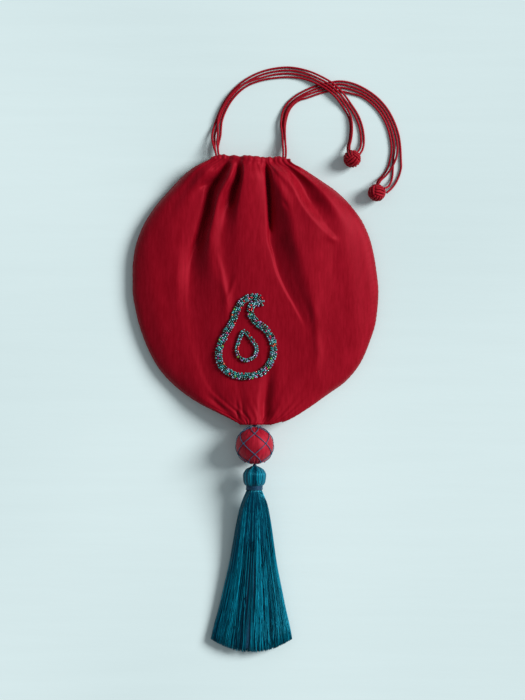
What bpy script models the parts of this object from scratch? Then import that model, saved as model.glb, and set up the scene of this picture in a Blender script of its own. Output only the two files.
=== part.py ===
"""Potli bag: a round silk pouch gathered on two drawstrings, with a netted ball and a tassel.

The bag lies on its back on a table at z = 0. +X is to the right across the bag, +Y runs from the
tassel towards the mouth, and +Z points up, away from the table. The origin is the middle of the
back panel, on the table. Lengths are in metres, apart from lists that say mm.
"""

import math

import bmesh
import bpy
import numpy as np
from mathutils import Matrix, Vector
from mathutils.bvhtree import BVHTree

MM = 0.001

# Cloth of the bag
BAG_WIDTH = 195 * MM
MOUTH_Y = 105.8 * MM
BOTTOM_Y = -107.4 * MM
CLOTH = 0.7 * MM
SEAM_HEIGHT = 4.6 * MM
SEAM_GAP = 0.6 * MM
SEAM_TURN = 9 * MM
FRONT_HEIGHT = 17.5 * MM
MOUTH_LEFT = -26 * MM
MOUTH_RIGHT = 18.5 * MM
MOUTH_LEFT_RISE = 1.8 * MM
MOUTH_SLIT = 5.4 * MM
MOUTH_END_SLIT = 1.1 * MM
BOTTOM_WIDTH = 24 * MM
GATHER_RISE = 2.2 * MM

# Drawstrings
CORD = 1.8 * MM
CORD_GAP = 0.25 * MM
TOUCH_GAP = 0.3 * MM
CORD_TURN = 3.6 * MM
KNOT_DIAMETER = 14.4 * MM
KNOT_GROOVE = 0.9 * MM
LEFT_KNOT_X = 77.1 * MM
LEFT_KNOT_Y = 104.5 * MM
RIGHT_KNOT_X = 96.7 * MM
RIGHT_KNOT_Y = 77.5 * MM

# Ball, its net, and the thread that carries ball and tassel
BALL_DIAMETER = 29.8 * MM
BALL_X = -0.6 * MM
NET_THREAD = 0.8 * MM
NET_GAP = 0.2 * MM
NET_ROWS = 5
NET_POINTS = 8
LINK_KNOT = 3.6 * MM
LINK_GAP = 1.4 * MM
THREAD = 1.2 * MM
BORE = 2 * MM

# Tassel
HEAD_WIDTH = 18.4 * MM
HEAD_LENGTH = 15.6 * MM
NECK_WIDTH = 11.8 * MM
BINDING_TURNS = 4
BINDING_THREAD = 0.9 * MM
SKIRT_LENGTH = 130 * MM
FOOT_WIDTH = 66 * MM
FOOT_HEIGHT = 8.6 * MM
FOOT_ARC = 10.9 * MM
TASSEL_LEAN = -2.6 * MM
STRAND_RIDGES = 24
STRAND_RIDGE = 0.35 * MM

# Bead motif
BEAD_BAND = 6.2 * MM
BEAD_HEIGHT = 1.8 * MM
BEAD_PITCH = 3.1 * MM
MOTIF_X = -8 * MM
MOTIF_Y = -38 * MM
MOTIF_HEIGHT = 62 * MM

# Sizes that follow from those above
HALF_WIDTH = BAG_WIDTH / 2
STRAND_STEP = CORD + CORD_GAP
CASING_INNER = STRAND_STEP / math.sqrt(2) + CORD / 2 + CORD_GAP
CASING_MIDDLE = CASING_INNER + CLOTH / 2
CASING_OUTER = CASING_INNER + CLOTH
CASING_Y = MOUTH_Y - CASING_OUTER
BACK_CASING_Z = CASING_OUTER
FRONT_CASING_Z = 3 * CASING_OUTER + MOUTH_END_SLIT
BALL_RADIUS = BALL_DIAMETER / 2
LINK_HEIGHT = BALL_RADIUS + NET_GAP + NET_THREAD
LINK_REACH = BALL_RADIUS + LINK_GAP
BAG_LINK = Vector((BALL_X, BOTTOM_Y - 0.2 * MM, LINK_HEIGHT))
BALL_CENTRE = BAG_LINK - Vector((0, LINK_REACH, 0))
TASSEL_LINK = BALL_CENTRE - Vector((0, LINK_REACH, 0))
GATHER_HALF = LINK_KNOT / 2 + TOUCH_GAP + CLOTH / 2

# The cloth's edge, as (share of half the bag's width, share of the way from mouth to bottom)
LEFT_EDGE = [
    (0.41, 0.012), (0.528, 0.042), (0.717, 0.128), (0.835, 0.193), (0.929, 0.268), (0.984, 0.347),
    (1.0, 0.418), (1.0, 0.489), (0.971, 0.578), (0.913, 0.67), (0.803, 0.775), (0.678, 0.843),
    (0.48, 0.911), (0.284, 0.957), (0.183, 0.98),
]
RIGHT_EDGE = [
    (0.27, 0.012), (0.344, 0.024), (0.54, 0.078), (0.659, 0.117), (0.776, 0.171), (0.879, 0.239),
    (0.942, 0.314), (0.981, 0.407), (1.0, 0.496), (0.981, 0.602), (0.926, 0.688), (0.855, 0.763),
    (0.737, 0.832), (0.58, 0.885), (0.423, 0.936), (0.25, 0.982),
]
CROWN = [(0, 1.02), (0.08, 1.2), (0.25, 1.14), (0.5, 1.0), (0.75, 0.9), (0.9, 0.92)]

# Folds of the front: name, reach to the left and right as shares of the cloth's width there, and
# along the fold (share from mouth to bottom, share from left edge to right edge, rise in mm)
FRONT_FOLDS = [
    ("left_crest", 0.05, 0.03, [
        (0, 0.04, 0), (0.03, 0.14, 0.6), (0.084, 0.19, 1.5), (0.178, 0.222, 2), (0.29, 0.216, 1.8),
        (0.391, 0.194, 1.2), (0.534, 0.187, 1), (0.665, 0.176, 0), (1, 0.06, 0)]),
    ("left_valley", 0.03, 0.03, [
        (0, 0.1, 0), (0.035, 0.27, -6), (0.099, 0.288, -11), (0.215, 0.284, -10),
        (0.346, 0.256, -6), (0.44, 0.236, -3), (0.571, 0.222, -1), (0.93, 0.2, -2),
        (1, 0.14, -1)]),
    ("second_crest", 0.022, 0.03, [
        (0, 0.22, 0), (0.035, 0.345, 1), (0.14, 0.328, 2.5), (0.3, 0.322, 2.5), (0.46, 0.312, 1),
        (0.61, 0.28, 1), (0.72, 0.26, 0), (1, 0.2, 0)]),
    ("second_valley", 0.025, 0.022, [
        (0, 0.34, 0), (0.035, 0.435, -6), (0.08, 0.42, -9), (0.14, 0.393, -9), (0.2, 0.38, -5),
        (0.346, 0.385, -3), (0.46, 0.385, -2), (0.56, 0.35, 0), (1, 0.26, 0)]),
    ("middle_crest", 0.05, 0.05, [
        (0, 0.47, 0), (0.06, 0.5, 1.6), (0.2, 0.49, 2.6), (0.35, 0.5, 2.4), (0.5, 0.48, 1),
        (0.75, 0.45, 0.4), (0.9, 0.42, 1), (1, 0.36, 0.8)]),
    ("bottom_valley", 0.028, 0.028, [
        (0, 0.6, 0), (0.04, 0.55, 0), (0.3, 0.545, 0), (0.66, 0.55, 0), (0.78, 0.552, -2.5),
        (0.87, 0.57, -5), (0.945, 0.61, -5), (1, 0.68, -0.5)]),
    ("third_valley", 0.016, 0.042, [
        (0, 0.72, 0), (0.035, 0.66, -5), (0.12, 0.6, -10), (0.215, 0.582, -11), (0.309, 0.6, -9),
        (0.391, 0.641, -7), (0.477, 0.678, -4), (0.6, 0.7, -0.5), (0.8, 0.68, 0), (1, 0.8, 0)]),
    ("fourth_crest", 0.035, 0.04, [
        (0, 0.86, 0), (0.04, 0.73, 1.5), (0.122, 0.68, 2.6), (0.215, 0.69, 2.4), (0.309, 0.71, 2),
        (0.421, 0.735, 1.5), (0.534, 0.75, 1.4), (0.684, 0.775, 1.4), (0.83, 0.77, 0),
        (1, 0.86, 0.6)]),
    ("pulled_crest", 0.04, 0.018, [
        (0, 0.95, 0), (0.04, 0.82, 1), (0.129, 0.765, 2.4), (0.234, 0.78, 3.4), (0.309, 0.825, 3),
        (0.4, 0.85, 0), (1, 0.92, 0)]),
    ("right_valley", 0.02, 0.045, [
        (0, 0.98, 0), (0.04, 0.9, -2.5), (0.1, 0.845, -5), (0.178, 0.83, -6), (0.253, 0.855, -4),
        (0.34, 0.9, 0), (1, 0.96, 0)]),
]
FACES_BETWEEN_FOLDS = [5, 2, 3, 3, 3, 2, 3, 3, 3, 2, 5]
CLOTH_ROWS = [0, 0.018, 0.04, 0.07, 0.11, 0.16, 0.215, 0.275, 0.34, 0.42, 0.51, 0.6, 0.69, 0.77,
              0.84, 0.89, 0.93, 0.965, 1]
BACK_EDGE_SHARES = [0, 0.008, 0.025, 0.05]
BACK_MIDDLE_FACES = 15
BACK_GATHERS = 5
CASING_WRAP = math.radians(262)
CASING_STEPS = 7

# Routes of the free strands, in mm. A bundle has (x, y) points from the casing to where it parts.
# A strand has (offset to the left of its way, height) at each of them, then its own (x, y, z).
LEFT_BUNDLE = [
    (-31.2, 112.5), (-31.6, 118), (-31.2, 124.5), (-28.8, 136), (-24.2, 147.4), (-17.4, 157),
    (-8, 165.2), (3.6, 170.6), (15.6, 173.2), (27.6, 173.8), (39.6, 172), (50, 168),
    (59.4, 162.6), (67, 155.6),
]
LEFT_STRANDS = {
    "a": ([(1.5, 8.4), (2.6, 5.8), (3.3, 3.2), (2.3, 0.95), (2.1, 0.95), (2.1, 0.95), (2.4, 0.95),
           (3.2, 0.95), (3.9, 0.95), (4.1, 0.95), (3.6, 1.7), (3.3, 3.1), (3.3, 3.3), (3.3, 3.1)],
          [(75.6, 149.6, 1.4), (81.6, 140.4, 0.95), (85.4, 130.4, 0.95), (86.7, 120, 1.4),
           (85.6, 112.6, 4), (83, 108, 6.4)]),
    "b": ([(1.1, 3.6), (1.1, 2.2), (1.15, 1.1), (0.1, 0.95), (0, 0.95), (0, 0.95), (0.2, 0.95),
           (0.9, 0.95), (1.5, 0.95), (1.7, 0.95), (1.3, 1.7), (1.1, 3.1), (1.1, 3.2), (1.1, 2.9)],
          [(73.8, 148.4, 1.4), (79.4, 139.4, 0.95), (83.1, 130, 0.95), (84.4, 120.2, 1.2),
           (83.7, 113.6, 2.4), (81, 109.5, 4)]),
    "c": ([(-1.1, 8.2), (-1.1, 5.8), (-1.15, 3.8), (1.1, 3), (1.05, 2.95), (1.05, 2.95),
           (-0.2, 3.2), (-1.3, 2), (-0.9, 0.95), (-0.8, 0.95), (-1.1, 1.7), (-1.1, 3.1),
           (-1.1, 3.2), (-1.1, 2.9)],
          [(71.8, 147.4, 1.8), (76.2, 138, 2.7), (77.2, 128, 3.05), (76.2, 119.4, 3.4),
           (74.8, 113.4, 6), (75.2, 110, 8)]),
    "d": ([(-1.1, 3.6), (-2.4, 2.2), (-3.3, 1.1), (-2.1, 0.95), (-2.1, 0.95), (-2.1, 0.95),
           (-2.4, 0.95), (-3.2, 0.95), (-3.6, 0.95), (-3.6, 0.95), (-3.4, 1.7), (-3.3, 3.1),
           (-3.3, 3.2), (-3.3, 2.9)],
          [(69.8, 146.2, 1.4), (74.8, 137.4, 0.95), (76, 128, 0.95), (75, 119.4, 1.2),
           (73.4, 113.4, 3.4), (73.6, 110, 5.4)]),
}
RIGHT_BUNDLE = [
    (23.2, 111.5), (22.8, 117), (22.5, 124), (23, 134), (26.2, 144.6), (33, 151.8),
    (41.2, 156.6), (49.4, 160), (58.2, 162.2), (67.6, 163), (77.2, 161.4), (86.8, 157.4),
    (95.4, 151.2), (102.6, 143), (107.8, 133.4), (110.8, 123), (112, 113),
]
RIGHT_STRANDS = {
    "a": ([(1.05, 8.4), (1.05, 6), (1.2, 3.9), (2.7, 2.9), (3.3, 0.95), (3.3, 0.95), (3.3, 0.95),
           (3.3, 0.95), (3.3, 0.95), (3.9, 0.95), (3.7, 0.95), (3.2, 0.95), (3.2, 0.95),
           (3.2, 0.95), (3.2, 0.95), (3.7, 0.95), (3.9, 0.95)],
          [(116.2, 105, 0.95), (116.4, 98, 0.95), (114.2, 90, 0.95), (110, 82.6, 2.2),
           (104.6, 77.4, 4.4)]),
    "b": ([(1.05, 3.6), (1.05, 2.2), (1.05, 1.1), (1.05, 0.95), (1.1, 0.95), (1.1, 0.95),
           (1.1, 0.95), (1.1, 0.95), (1.1, 0.95), (1.6, 0.95), (1, 0.95), (1, 0.95), (1, 0.95),
           (1, 0.95), (1, 0.95), (1.4, 0.95), (1.5, 2)],
          [(112.2, 105, 3.2), (108.6, 97.4, 3.3), (104, 91.2, 3.4), (99.6, 87, 5.6),
           (97.6, 83.4, 8)]),
    "c": ([(-1.05, 8.4), (-1.05, 6), (-1.05, 3.9), (-0.2, 2.9), (0, 2.85), (0, 2.85), (-0.7, 2.2),
           (-1.1, 0.95), (-1.1, 0.95), (-1.1, 0.95), (-1.4, 0.95), (-1.2, 0.95), (-1.2, 0.95),
           (-1.2, 0.95), (-1.2, 0.95), (-1.1, 0.95), (-1, 0.95)],
          [(110.2, 104.4, 0.95), (109.8, 96, 0.95), (109, 88.6, 1.2), (106.4, 83, 4.4),
           (102.6, 80.8, 8.4)]),
    "d": ([(-1.05, 3.6), (-1.05, 2.2), (-1.05, 1.1), (-1.05, 0.95), (-1.1, 0.95), (-1.1, 0.95),
           (-2.9, 0.95), (-3.3, 0.95), (-3.3, 0.95), (-4, 0.95), (-4.4, 0.95), (-3.4, 0.95),
           (-3.4, 0.95), (-3.4, 0.95), (-3.4, 0.95), (-3.3, 0.95), (-3.3, 0.95)],
          [(107.6, 104.4, 0.95), (105.4, 97, 0.95), (101.4, 91, 1.2), (98, 87.4, 2.8),
           (96.4, 83.6, 5)]),
}

# Paisley of the bead motif as (x, y) in shares of its height, going round it
PAISLEY = [
    (0.02, -0.5), (0.2, -0.45), (0.33, -0.3), (0.36, -0.1), (0.28, 0.08), (0.14, 0.2),
    (0.06, 0.32), (0.1, 0.43), (0.2, 0.44), (0.14, 0.52), (0.0, 0.49), (-0.1, 0.37),
    (-0.17, 0.2), (-0.27, 0.02), (-0.34, -0.17), (-0.31, -0.35), (-0.17, -0.47),
]
HEART = [(0.02, -0.29), (0.12, -0.24), (0.14, -0.12), (0.06, 0.0), (-0.02, 0.08), (-0.08, -0.03),
         (-0.11, -0.16), (-0.07, -0.26)]

SILK = (0.42, 0.012, 0.03)
CORD_RED = (0.4, 0.01, 0.022)
TEAL = (0.0, 0.13, 0.2)
DARK_TEAL = (0.004, 0.03, 0.05)
BEADS = (0.05, 0.3, 0.3)


def smooth_value(points, where):
    """Value at each place of a smooth curve through (place, value) points, with no added bumps."""
    place, value = np.array(points, float).T
    step = np.diff(place)
    slope = np.diff(value) / step
    tangent = np.concatenate([slope[:1], np.zeros(len(place) - 2), slope[-1:]])
    product = slope[:-1] * slope[1:]
    rising = product > 0
    tangent[1:-1][rising] = 2 * product[rising] / (slope[:-1] + slope[1:])[rising]
    where = np.clip(where, place[0], place[-1])
    k = np.clip(np.searchsorted(place, where) - 1, 0, len(step) - 1)
    t = (where - place[k]) / step[k]
    start = value[k] * (1 + 2 * t) * (1 - t) ** 2 + tangent[k] * step[k] * t * (1 - t) ** 2
    end = value[k + 1] * t * t * (3 - 2 * t) + tangent[k + 1] * step[k] * t * t * (t - 1)
    return start + end


def ease(t):
    """0 below 0, 1 above 1, and a smooth step between them."""
    t = np.clip(t, 0, 1)
    return t * t * (3 - 2 * t)


def edge_x(down):
    """The x of the cloth's left and right edges at a share of the way from mouth to bottom."""
    left = [(0, MOUTH_LEFT)] + [(v, -x * HALF_WIDTH) for x, v in LEFT_EDGE]
    right = [(0, MOUTH_RIGHT)] + [(v, x * HALF_WIDTH) for x, v in RIGHT_EDGE]
    left += [(1, -BOTTOM_WIDTH / 2)]
    right += [(1, BOTTOM_WIDTH / 2)]
    return smooth_value(left, down), smooth_value(right, down)


def casing_y(across):
    """Middle of the casing, which stands a little higher at its left end."""
    return CASING_Y + MOUTH_LEFT_RISE * (1 - across) ** 2


def front_casing_z(across):
    """Middle of the front casing, which arches over the mouth."""
    return FRONT_CASING_Z + (MOUTH_SLIT - MOUTH_END_SLIT) * ease(1 - np.abs(2 * across - 1))


def plan(across, down):
    left, right = edge_x(down)
    top = casing_y(across)
    return left + (right - left) * across, top + (BOTTOM_Y - top) * down


def seam_height(down):
    """Height of the side seam, which lifts to the ball's thread at the bottom."""
    return SEAM_HEIGHT + (LINK_HEIGHT - SEAM_HEIGHT) * ease((down - 0.84) / 0.16)


def fold_place(line, down):
    return smooth_value([(v, u) for v, u, _ in line], down)


def fold_rise(across, down):
    """Sum of all folds of the front at a place."""
    total = 0
    for _, left_reach, right_reach, line in FRONT_FOLDS:
        away = across - fold_place(line, down)
        rise = smooth_value([(v, rise * MM) for v, _, rise in line], down)
        total = total + rise * np.exp(-((away / np.where(away < 0, left_reach, right_reach)) ** 2))
    return total * ease(np.minimum(across, 1 - across) / 0.05)


def front_height(across, down):
    """Middle of the front cloth above the table."""
    casing_top = front_casing_z(across) + CASING_MIDDLE
    end_top = FRONT_CASING_Z + CASING_MIDDLE
    seam = SEAM_HEIGHT + SEAM_GAP / 2
    rim = smooth_value([(0, end_top), (0.012, end_top), (0.045, 0.5 * (end_top + seam)),
                        (0.1, seam), (1, seam)], down)
    rim = rim + seam_height(down) - SEAM_HEIGHT
    crown = smooth_value([(v, share * FRONT_HEIGHT) for v, share in CROWN]
                         + [(1, LINK_HEIGHT + GATHER_HALF)], down)
    dome = (1 - np.abs(2 * across - 1) ** 2.8) ** 0.5
    cloth = rim + (crown - rim) * dome + fold_rise(across, down)
    return casing_top + (cloth - casing_top) * ease(down / 0.05)


def back_height(across, down):
    """Middle of the back cloth: flat on the table, turned up at its edge and at the bottom."""
    flat = CLOTH / 2
    side = np.minimum(across, 1 - across)
    turn = (1 - np.clip(side / (SEAM_TURN / BAG_WIDTH), 0, 1)) ** 2
    turn = turn * (SEAM_HEIGHT - SEAM_GAP / 2 - flat) * ease((down - 0.02) / 0.07)
    lift = (LINK_HEIGHT - SEAM_HEIGHT) * ease((down - 0.84) / 0.16)
    sink = (SEAM_HEIGHT - flat - GATHER_HALF) * (1 - turn / (SEAM_HEIGHT - flat)) ** 2
    gather = 0.5 - 0.5 * np.cos(2 * np.pi * BACK_GATHERS * across)
    gather = gather * GATHER_RISE * ease(down / 0.06) * ease((0.34 - down) / 0.28)
    return flat + turn + lift + np.maximum(sink, 0) * ease((down - 0.84) / 0.16) + gather


def new_object(name, mesh, color, roughness):
    """Object of a mesh, with its own material, in the bag's collection."""
    obj = bpy.data.objects.new(name, mesh)
    bag.objects.link(obj)
    material = bpy.data.materials.new(name)
    material.use_nodes = True
    shader = material.node_tree.nodes["Principled BSDF"]
    shader.inputs["Base Color"].default_value = (*color, 1)
    shader.inputs["Roughness"].default_value = roughness
    shader.inputs["Metallic"].default_value = 0
    mesh.materials.append(material)
    return obj


def mesh_of_rows(name, rows, closed_round=False, capped=False):
    """Mesh of a grid of points. A capped one is a tube whose first and last row are filled."""
    shape = bmesh.new()
    grid = [[shape.verts.new(point) for point in row] for row in rows]
    for lower, upper in zip(grid, grid[1:]):
        count = len(lower)
        for i in range(count if closed_round else count - 1):
            j = (i + 1) % count
            shape.faces.new((lower[i], lower[j], upper[j], upper[i]))
    if capped:
        shape.faces.new(reversed(grid[0]))
        shape.faces.new(grid[-1])
    bmesh.ops.recalc_face_normals(shape, faces=shape.faces)
    mesh = bpy.data.meshes.new(name)
    shape.to_mesh(mesh)
    shape.free()
    mesh.shade_smooth()
    return mesh


def cloth_panel(name, shares, height, casing_z, up):
    """One half of the bag: a sheet whose mouth edge is rolled inwards as a casing."""
    grid = []
    for step in range(CASING_STEPS, 0, -1):
        turn = CASING_WRAP * step / CASING_STEPS
        across = shares(0)
        x = MOUTH_LEFT + (MOUTH_RIGHT - MOUTH_LEFT) * across
        y = casing_y(across) + CASING_MIDDLE * math.sin(turn)
        z = casing_z(across) + up * CASING_MIDDLE * math.cos(turn)
        grid.append(list(zip(x, y, z)))
    for down in CLOTH_ROWS:
        across = shares(down)
        x, y = plan(across, down)
        grid.append(list(zip(x, y, height(across, down))))
    panel = new_object(name, mesh_of_rows(name, grid), SILK, 0.5)
    solidify = panel.modifiers.new("Cloth thickness", "SOLIDIFY")
    solidify.thickness = CLOTH
    solidify.offset = 0
    return panel


def front_shares(down):
    """Places across the front whose columns run along its folds."""
    knots = [0] + [float(fold_place(line, down)) for *_, line in FRONT_FOLDS] + [1]
    shares = [0]
    for start, end, faces in zip(knots, knots[1:], FACES_BETWEEN_FOLDS):
        shares += list(np.linspace(start, end, faces + 1)[1:])
    shares = np.array(shares)
    first, last = FACES_BETWEEN_FOLDS[0], FACES_BETWEEN_FOLDS[-1]
    bend = np.linspace(0, 1, first + 1) ** 1.7
    shares[: first + 1] = shares[first] * bend
    bend = np.linspace(1, 0, last + 1) ** 1.7
    shares[-last - 1 :] = 1 - (1 - shares[-last - 1]) * bend
    return shares


def back_shares(_down):
    edge = np.array(BACK_EDGE_SHARES)
    middle = np.linspace(edge[-1], 1 - edge[-1], BACK_MIDDLE_FACES + 1)
    return np.concatenate([edge[:-1], middle, 1 - edge[-2::-1]])


def make_panels():
    cloth_panel("back_panel", back_shares, back_height,
                lambda across: np.full_like(across, BACK_CASING_Z), -1)
    return cloth_panel("front_panel", front_shares, front_height, front_casing_z, 1)


def tube(name, points, diameter, color, cyclic=False, sides=2, swell=None):
    """Round cord through points, with filled ends."""
    curve = bpy.data.curves.new(name, "CURVE")
    curve.dimensions = "3D"
    curve.bevel_depth = diameter / 2
    curve.bevel_resolution = sides
    curve.use_fill_caps = not cyclic
    spline = curve.splines.new("POLY")
    spline.points.add(len(points) - 1)
    for i, (target, point) in enumerate(zip(spline.points, points)):
        target.co = (*point, 1)
        target.radius = swell[i] if swell else 1
    spline.use_cyclic_u = cyclic
    return new_object(name, curve, color, 0.55)


def smooth_path(points, step, closed=False):
    """Points at an even step along a smooth curve through the given points."""
    points = [Vector(point) for point in points]
    count = len(points)
    dense = []
    for i in range(count if closed else count - 1):
        before = points[i - 1] if closed or i else points[0] * 2 - points[1]
        start, end = points[i], points[(i + 1) % count]
        after = points[(i + 2) % count] if closed or i < count - 2 else end * 2 - start
        for t in np.linspace(0, 1, 16, endpoint=False):
            square, cube = t * t, t * t * t
            dense.append(0.5 * (2 * start + (end - before) * t
                                + (2 * before - 5 * start + 4 * end - after) * square
                                + (3 * start - before - 3 * end + after) * cube))
    dense.append(points[0] if closed else points[-1])
    dense = np.array([tuple(point) for point in dense])
    along = np.concatenate([[0], np.cumsum(np.linalg.norm(np.diff(dense, axis=0), axis=1))])
    places = np.linspace(0, along[-1], max(3, round(along[-1] / step) + 1))
    if closed:
        places = places[:-1]
    return np.array([np.interp(places, along, dense[:, k]) for k in range(3)]).T


def strand_in_casing(offset, start_side, casing_z, up):
    """Points of a strand through one casing, from the left end to the right, twisting half round."""
    points = []
    for across in np.linspace(0, 1, 11):
        turn = math.pi * (across if start_side < 0 else across + 1)
        dy = offset * math.cos(turn)
        spread = STRAND_STEP / 2
        dz = -up * spread * math.cos(turn)
        swing = spread * math.sin(turn)
        x = MOUTH_LEFT + (MOUTH_RIGHT - MOUTH_LEFT) * across
        y = casing_y(across) + dy + swing * (1 if start_side < 0 else 1)
        z = float(casing_z(across)) + dz + up * offset * math.sin(turn)
        points.append(Vector((x, y, z)))
    return points


def held_strand(name, offset, exit_side):
    """Strand that leaves the casing at one end (-1 left, 1 right) and loops round at the other."""
    front = strand_in_casing(offset, exit_side, front_casing_z, 1)
    back = strand_in_casing(offset, exit_side, lambda _across: BACK_CASING_Z, -1)
    if exit_side > 0:
        front.reverse()
        back.reverse()
    far_end = -exit_side
    radius = (front[-1].z - back[-1].z) / 2
    middle = (front[-1].z + back[-1].z) / 2
    inner_height = radius - STRAND_STEP
    reach = CORD_TURN + 2 * STRAND_STEP + CORD_GAP - math.sqrt(radius**2 - inner_height**2)
    arch = []
    for angle in np.linspace(0, math.pi, 11):
        x = front[-1].x + far_end * (reach + radius * math.sin(angle))
        arch.append(Vector((x, front[-1].y, middle + radius * math.cos(angle))))
    return tube(name, front + arch + back[::-1], CORD, CORD_RED)


def knot_centre(x, y):
    return Vector((x, y, KNOT_DIAMETER / 2 + 0.05 * MM))


def free_strand(name, exit_side, front, outer, bundle, strand, knot):
    """Strand from the casing's end to its knot, as a tube."""
    offsets, tail = strand
    across = 0 if exit_side < 0 else 1
    end_x = MOUTH_LEFT if exit_side < 0 else MOUTH_RIGHT
    centre_y = casing_y(across) + STRAND_STEP / 2 + CORD_TURN
    turn = CORD_TURN + (STRAND_STEP if outer else 0)
    z = FRONT_CASING_Z - STRAND_STEP / 2 if front else BACK_CASING_Z + STRAND_STEP / 2
    start = [Vector((end_x + exit_side * turn * math.sin(angle),
                     centre_y - turn * math.cos(angle), z))
             for angle in np.radians([0, 22.5, 45, 67.5, 90])]
    start[0].x += exit_side * TOUCH_GAP
    middle = []
    for i, ((x, y), (offset, height)) in enumerate(zip(bundle, offsets)):
        after = bundle[min(i + 1, len(bundle) - 1)]
        before = bundle[max(i - 1, 0)]
        way = Vector((after[0] - before[0], after[1] - before[1])).normalized()
        middle.append(Vector((x - way.y * offset, y + way.x * offset, height)) * MM)
    rest = smooth_path([start[-1]] + middle + [Vector(point) * MM for point in tail], 1 * MM)
    rest[:, 2] = np.maximum(rest[:, 2], CORD / 2 + 0.05 * MM)
    clear = KNOT_DIAMETER / 2 + TOUCH_GAP + CORD / 8
    kept = [point for point in rest if (Vector(point) - knot).length > clear]
    path = smooth_path(kept, 2.8 * CORD)
    return tube(name, start[:-1] + [Vector(point) for point in path], CORD, CORD_RED)


def make_drawstrings():
    left_knot = knot_centre(LEFT_KNOT_X, LEFT_KNOT_Y)
    right_knot = knot_centre(RIGHT_KNOT_X, RIGHT_KNOT_Y)
    half = STRAND_STEP / 2
    for side, exit_side in (("left", -1), ("right", 1)):
        held_strand(f"{side}_strand_in_casing_1", half, exit_side)
        held_strand(f"{side}_strand_in_casing_2", -half, exit_side)
    ways = {"a": (True, True), "b": (False, True), "c": (True, False), "d": (False, False)}
    for letter, (front, outer) in ways.items():
        free_strand(f"left_strand_{letter}", -1, front, outer, LEFT_BUNDLE, LEFT_STRANDS[letter],
                    left_knot)
        free_strand(f"right_strand_{letter}", 1, front, not outer, RIGHT_BUNDLE,
                    RIGHT_STRANDS[letter], right_knot)
    ball_knot("left_ball_knot", left_knot)
    ball_knot("right_ball_knot", right_knot)


def ball_knot(name, centre):
    """Woven button knot: on each side of a ball, three cords run side by side."""
    shape = bmesh.new()
    bmesh.ops.create_cube(shape, size=2)
    bmesh.ops.subdivide_edges(shape, edges=shape.edges, cuts=5, use_grid_fill=True)
    for vert in shape.verts:
        place = vert.co.copy()
        sizes = [abs(place.x), abs(place.y), abs(place.z)]
        face = sizes.index(max(sizes))
        across = place[(face + 1) % 3]
        ridge = round((across + 1) * 3) % 2
        on_edge = sorted(sizes)[1] > 0.99
        radius = KNOT_DIAMETER / 2 - (0 if ridge and not on_edge else KNOT_GROOVE)
        vert.co = place.normalized() * radius
    mesh = bpy.data.meshes.new(name)
    shape.to_mesh(mesh)
    shape.free()
    knot = new_object(name, mesh, CORD_RED, 0.55)
    knot.matrix_world = Matrix.Translation(centre) @ Matrix.Rotation(math.radians(25), 4, "Z")
    return knot


def turned(name, profile, steps, color, roughness):
    """Solid turned about the Y axis from (radius, y) points that run once round its section."""
    rows = []
    for radius, y in profile + profile[:1]:
        angles = np.linspace(0, 2 * math.pi, steps, endpoint=False)
        rows.append([(radius * math.cos(a), y, radius * math.sin(a)) for a in angles])
    mesh = mesh_of_rows(name, rows, closed_round=True)
    shape = bmesh.new()
    shape.from_mesh(mesh)
    bmesh.ops.remove_doubles(shape, verts=shape.verts, dist=1e-6)
    bmesh.ops.recalc_face_normals(shape, faces=shape.faces)
    shape.to_mesh(mesh)
    shape.free()
    return new_object(name, mesh, color, roughness)


def make_ball():
    """Cloth-covered ball with a bore for the thread, open as a socket round each link knot."""
    socket = LINK_KNOT / 2 + TOUCH_GAP + 0.2 * MM
    first = math.asin(socket / BALL_RADIUS)
    arc = [(BALL_RADIUS * math.sin(a), BALL_RADIUS * math.cos(a))
           for a in np.linspace(first, math.pi - first, 13)]
    deep = BALL_RADIUS - socket
    profile = [(BORE / 2, -deep), (BORE / 2, deep)] + arc
    ball = turned("ball", profile, 24, SILK, 0.5)
    ball.location = BALL_CENTRE


def make_net():
    """Knotted net over the ball: zigzag rows whose points meet those of the next row."""
    radius = BALL_RADIUS + NET_GAP + NET_THREAD / 2
    meet = (NET_THREAD + TOUCH_GAP) / 2 / radius
    levels = np.radians(np.linspace(25, 155, NET_ROWS + 1))
    for row in range(NET_ROWS):
        near, far = levels[row] + meet, levels[row + 1] - meet
        points = []
        for i in range(2 * NET_POINTS):
            here, there = (near, far) if i % 2 == 0 else (far, near)
            for t in (0, 0.5):
                polar = here + (there - here) * t
                around = 2 * math.pi * (i + t + row) / (2 * NET_POINTS)
                points.append(BALL_CENTRE + radius * Vector((
                    math.sin(polar) * math.cos(around), math.cos(polar),
                    math.sin(polar) * math.sin(around))))
        tube(f"net_row_{row + 1}", points, NET_THREAD, DARK_TEAL, cyclic=True, sides=0)


def make_links():
    """Thread through the ball, and the knots at its two ends."""
    for name, centre in (("bag_knot", BAG_LINK), ("head_knot", TASSEL_LINK)):
        mesh = bpy.data.meshes.new(name)
        shape = bmesh.new()
        bmesh.ops.create_uvsphere(shape, u_segments=12, v_segments=8, radius=LINK_KNOT / 2)
        shape.to_mesh(mesh)
        shape.free()
        new_object(name, mesh, DARK_TEAL, 0.5).location = centre
    reach = Vector((0, LINK_REACH - LINK_KNOT / 2 - TOUCH_GAP, 0))
    tube("hanging_thread", [BALL_CENTRE + reach, BALL_CENTRE - reach], THREAD, DARK_TEAL)


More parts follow.
